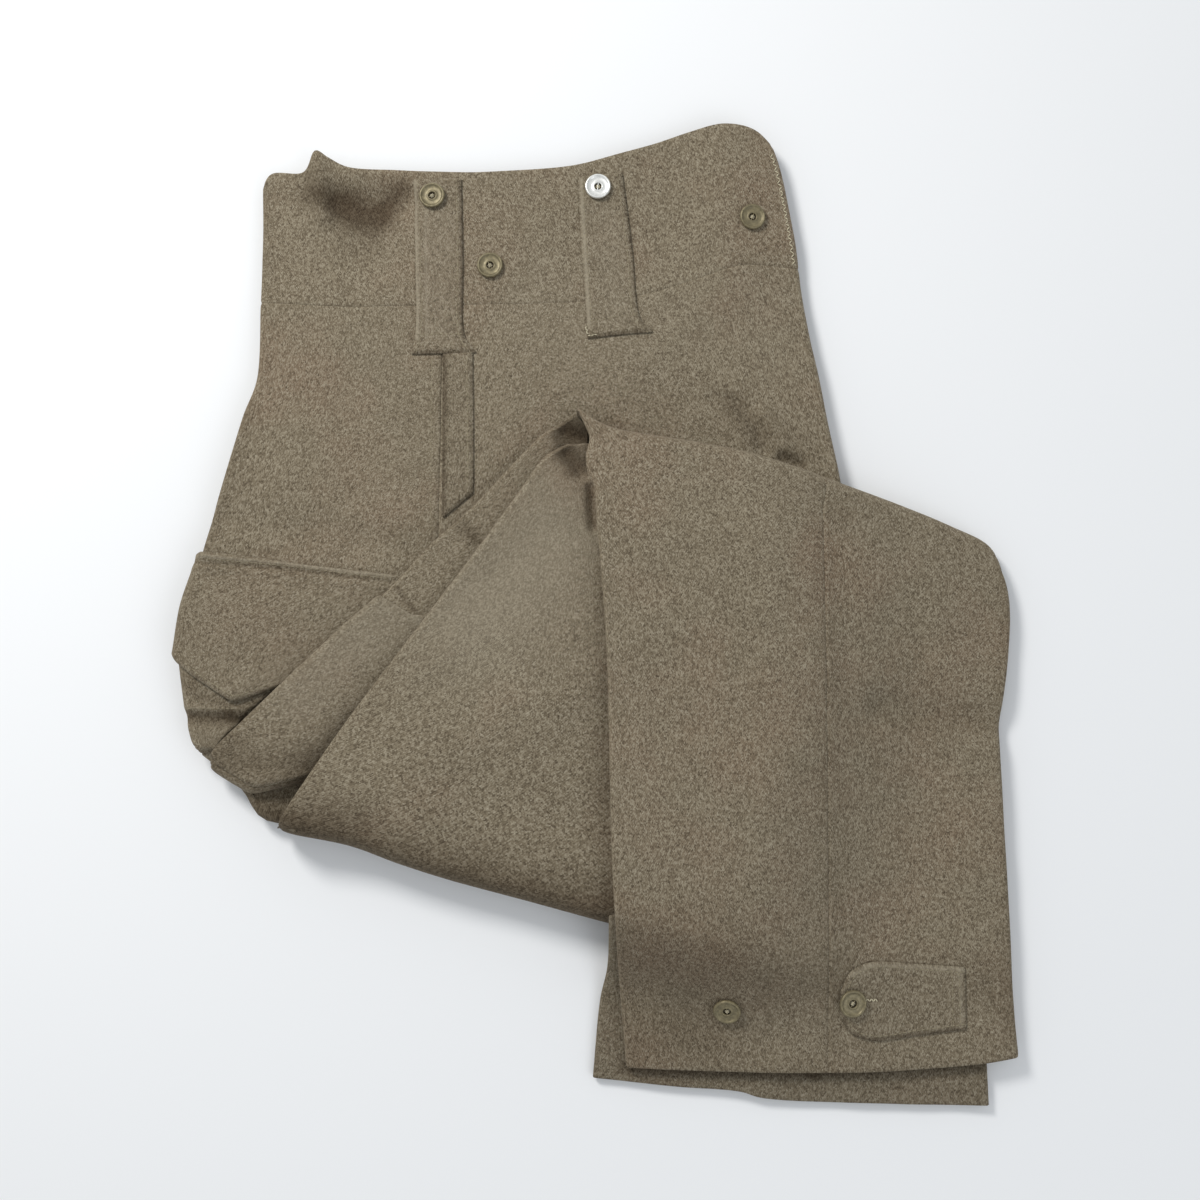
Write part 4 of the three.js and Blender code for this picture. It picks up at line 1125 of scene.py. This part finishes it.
# %% Trim pieces
on_hip = above(thigh_height, TRIM + SEAT)
on_shin = above(shin_height, TRIM + SEAT)
side_loop = trim(
    "belt_loop_side_cloth", face(between(*SIDE_LOOP), on_hip, stations(40), stations(130)),
    1.1, LOOP_MARKS,
)
back_loop = trim(
    "belt_loop_back_cloth", face(between(*BACK_LOOP), on_hip, stations(40), stations(130)),
    1.1, LOOP_MARKS,
)
welt = trim(
    "side_pocket_welt_cloth", face(between(*SIDE_WELT), on_hip, stations(20), stations(110)),
    1.3, WELT_MARKS,
)
flap_plan = patch(edge(FLAP_TOP), edge(FLAP_BOTTOM), edge(FLAP_LEFT), edge(FLAP_RIGHT))
flap = trim(
    "map_pocket_flap_cloth",
    face(flap_plan, flap_height, stations(100, 0.5 * PI, 0), stations(110), spread=9.6, drop=19.4),
    0.9, FLAP_MARKS,
)
pocket = trim(
    "map_pocket_cloth",
    face(between(*POCKET), on_hip, stations(50, 0.5 * PI, 0), stations(70, 0, 0.5 * PI), spread=7.0,
         drop=14.6, end_spread=4.0, end_drop=12.0, corner=2.0),
    0.6, POCKET_MARKS,
)
pocket_foot = wall(
    "map_pocket_foot_cloth", strip_face[FOOT_ROWS], wool_trim, lift=2.3,
    pillow=1.0, marks=FOOT_MARKS,
)
tab_left, tab_right = line(TAB_TOP[0], TAB_BOTTOM[0]), line(TAB_TOP[-1], TAB_BOTTOM[-1])
tab_plan = patch(edge(TAB_TOP), edge(TAB_BOTTOM), tab_left, tab_right)
tab = trim(
    "ankle_tab_cloth", face(tab_plan, on_shin, stations(64), stations(40)),
    1.1, TAB_MARKS,
)

# %% [markdown]
# ## Stitches
#
# A stitch is a short spindle of thread, half sunk in the cloth. `spindle` makes one between two
# points, and `stitch_row` lays hundreds of them along the edges of the trim, each a little off, as
# a sewing machine and years of wear leave them. All the stitches of one colour share a mesh.


# %% Stitches
def spindle(a, b, thick, sides=6, rings=(0.0, 0.12, 0.5, 0.88, 1.0)):
    """Points and quads of a thread from a to b, with radius = thick sqrt(sin(pi share)).

    So it is thickest in the middle, and its ends keep a quarter of that.
    """
    a, b = np.asarray(a, float), np.asarray(b, float)
    way = unit(b - a)
    cross = unit(np.cross(way, (0, 0, 1) if abs(way[2]) < 0.9 else (1, 0, 0)))
    third = np.cross(way, cross)
    turn = 2 * PI * np.arange(sides) / sides
    loop = np.cos(turn)[:, None] * cross + np.sin(turn)[:, None] * third
    points = [
        a + (b - a) * r + loop * thick * max(0.25, math.sqrt(math.sin(PI * r)))
        for r in rings
    ]
    ring = np.arange(sides)
    quads = [band(ring + k, ring + k + sides) for k in np.arange(len(rings) - 1) * sides]
    return np.vstack(points), np.vstack(quads)


def join(name, parts, look):
    """One piece from many lots of points and quads."""
    first = np.cumsum([0] + [len(points) for points, _ in parts])
    all_points = np.vstack([points for points, _ in parts])
    all_quads = np.vstack([quads + start for (_, quads), start in zip(parts, first)])
    made = new_piece(name, all_points, all_quads, look)
    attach(made, "root")
    print(name, "has", len(made.data.polygons), "faces")
    return made


STITCH_SCATTER = 0.08


def stitch_row(rows, height, pitch=3.3, length=2.5, thick=0.3, sway=0.0):
    """Stitches along a curve through rows, on a height function.

    sway swings them to and fro across the curve, as a zigzag.
    """
    curve = edge(rows)
    samples = curve(np.linspace(0, 1, 200))
    whole = float(np.linalg.norm(np.diff(samples, axis=0), axis=1).sum())
    count = max(2, int(whole / pitch))
    parts = []
    for k in range(count):
        ends = curve(np.array([k + 0.1, k + 0.1 + length / pitch]) / count)
        way = unit(ends[1] - ends[0])
        side = np.array([-way[1], way[0]])
        swung = np.array([[-1], [1]]) * sway * (1 if k % 2 else -1)
        ends = ends + side * rng.normal(0, STITCH_SCATTER) + side * swung
        z = height(ends[:, 0], ends[:, 1]) + 0.12 * thick
        parts.append(spindle((*ends[0], z[0]), (*ends[1], z[1]), thick))
    return parts


def moved(rows, by):
    """A table shifted sideways by a distance, to the right of its direction."""
    p = np.array(rows, float)
    way = unit(np.gradient(p, axis=0))
    return (p + np.stack([way[:, 1], -way[:, 0]], axis=1) * by).tolist()


# Each row: the points of the line, and the height it lies on.
khaki_rows = [
    (moved(SIDE_LOOP[0], -3.2), on_hip),
    (moved(SIDE_LOOP[1], 3.2), on_hip),
    ([(-136, 203), (-101.5, 203.5)], on_hip),
    (moved(BACK_LOOP[0], -3.2), on_hip),
    (moved(BACK_LOOP[1], 3.2), on_hip),
    ([(-9, 213), (27, 218)], on_hip),
    ([(-124.5, 186), (-123.5, 120), (-122.5, 54)], thigh_height),
    ([(-98.5, 186), (-97, 130), (-96.5, 88)], on_hip),
    ([(-282, 35), (-231, 30.8), (-152, 20.8)], flap_height),
    (moved(FLAP_BOTTOM[1:], -3.4), flap_height),
    (moved(TAB_TOP, 3.0), on_shin),
    (moved(TAB_BOTTOM, -3.0), on_shin),
    ([(247.5, -254), (247.5, -289)], on_shin),
    ([(242.5, -254), (242.5, -289)], on_shin),
    ([(165.5, -268), (164, -274), (165.5, -281)], on_shin),
    ([(-292, -71.5), (-258, -71.8)], on_hip),
]
# The pale rows also have their pitch and sway.
PALE_SHARE = 0.85
PALE_THICK = 0.42
on_notch = above(thigh_height, 0.3)
pale_rows = [
    ([(126.8, 343), (131, 328), (136.2, 301), (141, 270), (142.6, 258)], on_notch, 2.6, 1.2),
    ([(-11.5, 209), (-10, 203)], on_hip, 1.5, 0.7),
    ([(-10, 201.5), (-3, 202.5)], on_hip, 2.0, 0.4),
    ([(180, -272), (190, -272.4)], on_shin, 1.3, 0.9),
]

# %% [markdown]
# Thread is a fibre too: matte, and a little uneven in tone. Khaki thread nearly vanishes in the
# cloth. The bare, pale thread shows where a seam has come undone and round the buttonhole.


# %% Thread
def thread_look(name, rgb):
    """Matte thread, a little uneven in tone."""
    look, tree, bsdf = new_look(name)
    place = add_node(tree, "ShaderNodeTexCoord")
    tone = add_node(tree, "ShaderNodeTexNoise", Scale=600.0, Detail=2.0)
    tree.links.new(place.outputs["Object"], tone.inputs["Vector"])
    dark = srgb(*(0.72 * c for c in rgb))
    tree.links.new(mix_colour(tree, tone.outputs["Fac"], srgb(*rgb), dark), bsdf.inputs["Base Color"])
    bsdf.inputs["Roughness"].default_value = 0.8
    bsdf.inputs["Sheen Weight"].default_value = 0.2
    return look


khaki_thread = thread_look("khaki thread", (158, 146, 116))
pale_thread = thread_look("pale thread", (226, 216, 184))
khaki_stitches = [part for row, height in khaki_rows for part in stitch_row(row, height)]
join("stitches_khaki", khaki_stitches, khaki_thread)
pale_stitches = [
    part for row, height, pitch, sway in pale_rows
    for part in stitch_row(row, height, pitch, PALE_SHARE * pitch, PALE_THICK, sway)
]
join("stitches_pale", pale_stitches, pale_thread)

# %% [markdown]
# ## Buttons
#
# Each button is a pressed metal ring with a rolled rim, a dish, and one round hole with a bar
# across it, to which the thread is sewn. `turned` spins a profile round the button's axis. The
# button is then set on the cloth, tipped to its slope.

# %% Button shapes
BUTTON_PROFILE = [
    (2.75, 0.35), (7.6, 0.05), (9.1, 0.5), (9.5, 1.3), (9.5, 2.2), (9.2, 2.85), (8.6, 3.15), (8.0, 2.95),
    (7.5, 2.4), (6.9, 2.05), (5.6, 1.85), (4.3, 1.9), (3.6, 2.2), (3.1, 2.3), (2.8, 2.1), (2.7, 1.5),
]
BUTTON_RADIUS = 9.5
BUTTON_LIFT = 0.4
SLOPE_REACH = 5.0
RISE_SHARE = 0.3


def turned(profile, sides=72):
    """Points and quads of a closed profile of radius and height, spun round the z axis."""
    p = np.array(profile, float)
    turn = 2 * PI * np.arange(sides)[:, None] / sides
    radius, z = p[:, 0], np.broadcast_to(p[:, 1], (sides, len(p)))
    points = np.stack([radius * np.cos(turn), radius * np.sin(turn), z], axis=-1).reshape(-1, 3)
    a = np.arange(sides)[:, None] * len(p)
    b = np.roll(a, -1, axis=0)
    k = np.arange(len(p))[None, :]
    n = np.roll(k, -1)
    quads = np.stack([a + k, b + k, b + n, a + n], axis=-1).reshape(-1, 4)
    return points, quads


def smoothed(profile, steps=3):
    """A closed profile with more points, by a curve through the given ones."""
    rows = [*profile, profile[0]]
    return edge(rows)(np.linspace(0, 1, len(profile) * steps, endpoint=False))


def seated(points, x, y, height):
    """Points about the button's own axis, tipped to the cloth's slope at x, y and set just above it.

    Where the cloth rises under the rim, the button is lifted by a share of that too.
    """
    dx = float(height(x + SLOPE_REACH, y) - height(x - SLOPE_REACH, y)) / (2 * SLOPE_REACH)
    dy = float(height(x, y + SLOPE_REACH) - height(x, y - SLOPE_REACH)) / (2 * SLOPE_REACH)
    up = unit(np.array([-dx, -dy, 1.0]))
    first = unit(np.array([1.0, 0.0, dx]))
    second = np.cross(up, first)
    around = np.linspace(0, 2 * PI, 13)[:-1]
    rim_x, rim_y = BUTTON_RADIUS * np.cos(around), BUTTON_RADIUS * np.sin(around)
    rise = float(np.max(height(x + rim_x, y + rim_y) - height(x, y) - dx * rim_x - dy * rim_y))
    base = np.array([x, y, float(height(x, y)) + BUTTON_LIFT + RISE_SHARE * max(0.0, rise)])
    return base + points @ np.stack([first, second, up])


# Each row: x, y, the height it lies on, the bar's turn in degrees, and the slot.
BUTTONS = {
    "loop_button_side": (-125.6, 309.3, on_hip, 25, "brass"),
    "loop_button_back": (-2.5, 316.3, on_hip, 85, "white_metal"),
    "brace_button_side": (-82.3, 256.4, thigh_height, 120, "brass"),
    "brace_button_back": (111.8, 292.7, thigh_height, 70, "brass"),
    "cuff_button_spare": (86.3, -278.8, shin_height, 95, "brass"),
    "cuff_button_tab": (172, -273.9, on_shin, 60, "brass"),
}
print("buttons:", ", ".join(BUTTONS))

# %% [markdown]
# The buttons' metal is painted and worn: a dull olive on the brass, rubbed through in patches to a
# brighter metal, which a noise texture places. One button is of a white metal instead.


# %% Button materials
def metal_look(name, dull, bright, rough, metallic):
    """Metal whose dull coat is uneven, and rubbed bright where a noise says so."""
    look, tree, bsdf = new_look(name)
    place = add_node(tree, "ShaderNodeTexCoord")
    blotch = add_node(tree, "ShaderNodeTexNoise", Scale=420.0, Detail=4.0, Roughness=0.65)
    fine = add_node(tree, "ShaderNodeTexNoise", Scale=2600.0, Detail=2.0)
    for texture in (blotch, fine):
        tree.links.new(place.outputs["Object"], texture.inputs["Vector"])
    rubbed = swing(tree, blotch.outputs["Fac"], 4.0, middle=0.42, clamp=True)
    tree.links.new(mix_colour(tree, rubbed, srgb(*dull), srgb(*bright)), bsdf.inputs["Base Color"])
    roughness = maths(tree, "ADD", maths(tree, "MULTIPLY", fine.outputs["Fac"], 0.2), rough - 0.1)
    tree.links.new(roughness, bsdf.inputs["Roughness"])
    bump = add_node(tree, "ShaderNodeBump", Strength=0.25, Distance=0.0001)
    tree.links.new(fine.outputs["Fac"], bump.inputs["Height"])
    tree.links.new(bump.outputs["Normal"], bsdf.inputs["Normal"])
    bsdf.inputs["Metallic"].default_value = metallic
    return look


brass = metal_look("dull brass", (113, 104, 80), (140, 130, 100), 0.46, 0.4)
white_metal = metal_look("white metal", (226, 226, 222), (246, 246, 242), 0.34, 0.6)
METAL = {"brass": brass, "white_metal": white_metal}
BAR_HALF = 3.2
BAR_HIGH = 1.35
BAR_THICK = 0.62
THREADS = 4
THREAD_PITCH = 0.62
THREAD_HALF = 1.7
THREAD_TOP = 2.15
THREAD_THICK = 0.3
sewing = []
button_pieces = {}
ring_points, ring_quads = turned(smoothed(BUTTON_PROFILE))
for name, (x, y, height, turn, slot) in BUTTONS.items():
    c, d = math.cos(math.radians(turn)), math.sin(math.radians(turn))
    bar_end = (BAR_HALF * c, BAR_HALF * d, BAR_HIGH)
    bar_start = (-BAR_HALF * c, -BAR_HALF * d, BAR_HIGH)
    bar_points, bar_quads = spindle(bar_start, bar_end, BAR_THICK, sides=12)
    shapes = ((ring_points, ring_quads), (bar_points, bar_quads))
    parts = [(seated(points, x, y, height), quads) for points, quads in shapes]
    button_pieces[name] = join(name + "_metal", parts, METAL[slot])
    for k in range(THREADS):
        shift = (k - (THREADS - 1) / 2) * THREAD_PITCH
        near_end = (shift * c - THREAD_HALF * d, shift * d + THREAD_HALF * c, THREAD_THICK)
        over_bar = (shift * c, shift * d, THREAD_TOP)
        far_end = (shift * c + THREAD_HALF * d, shift * d - THREAD_HALF * c, THREAD_THICK)
        for start, end in ((near_end, over_bar), (over_bar, far_end)):
            thread_points, thread_quads = spindle(start, end, THREAD_THICK)
            sewing.append((seated(thread_points, x, y, height), thread_quads))
join("button_thread", sewing, pale_thread)

# %% [markdown]
# ## What stands for which solid
#
# Each solid of the frame is stood for by the piece that was made from the same edges. The solids
# stay in the frame for collision and are only hidden from view.

# %% Stand for the solids
STANDS_FOR = {
    "waistband_left": waistband_left, "waistband_right": waistband_right, "left_front_thigh": front_thigh,
    "left_back_seat": back_seat, "left_inner_knee": inner_knee, "right_front_knee": front_knee,
    "left_front_shin": front_shin, "left_back_shin": back_shin, "left_inner_cuff": inner_cuff,
    "right_inner_cuff": right_inner, "right_outer_cuff": right_outer, "hidden_layers": hidden,
    "belt_loop_side": side_loop, "belt_loop_back": back_loop, "side_pocket_welt": welt, "map_pocket": pocket,
    "map_pocket_flap": flap, "map_pocket_foot": pocket_foot, "ankle_tab": tab, **button_pieces,
}
for node, piece in STANDS_FOR.items():
    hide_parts(node)
print("solids stood for:", len(STANDS_FOR))
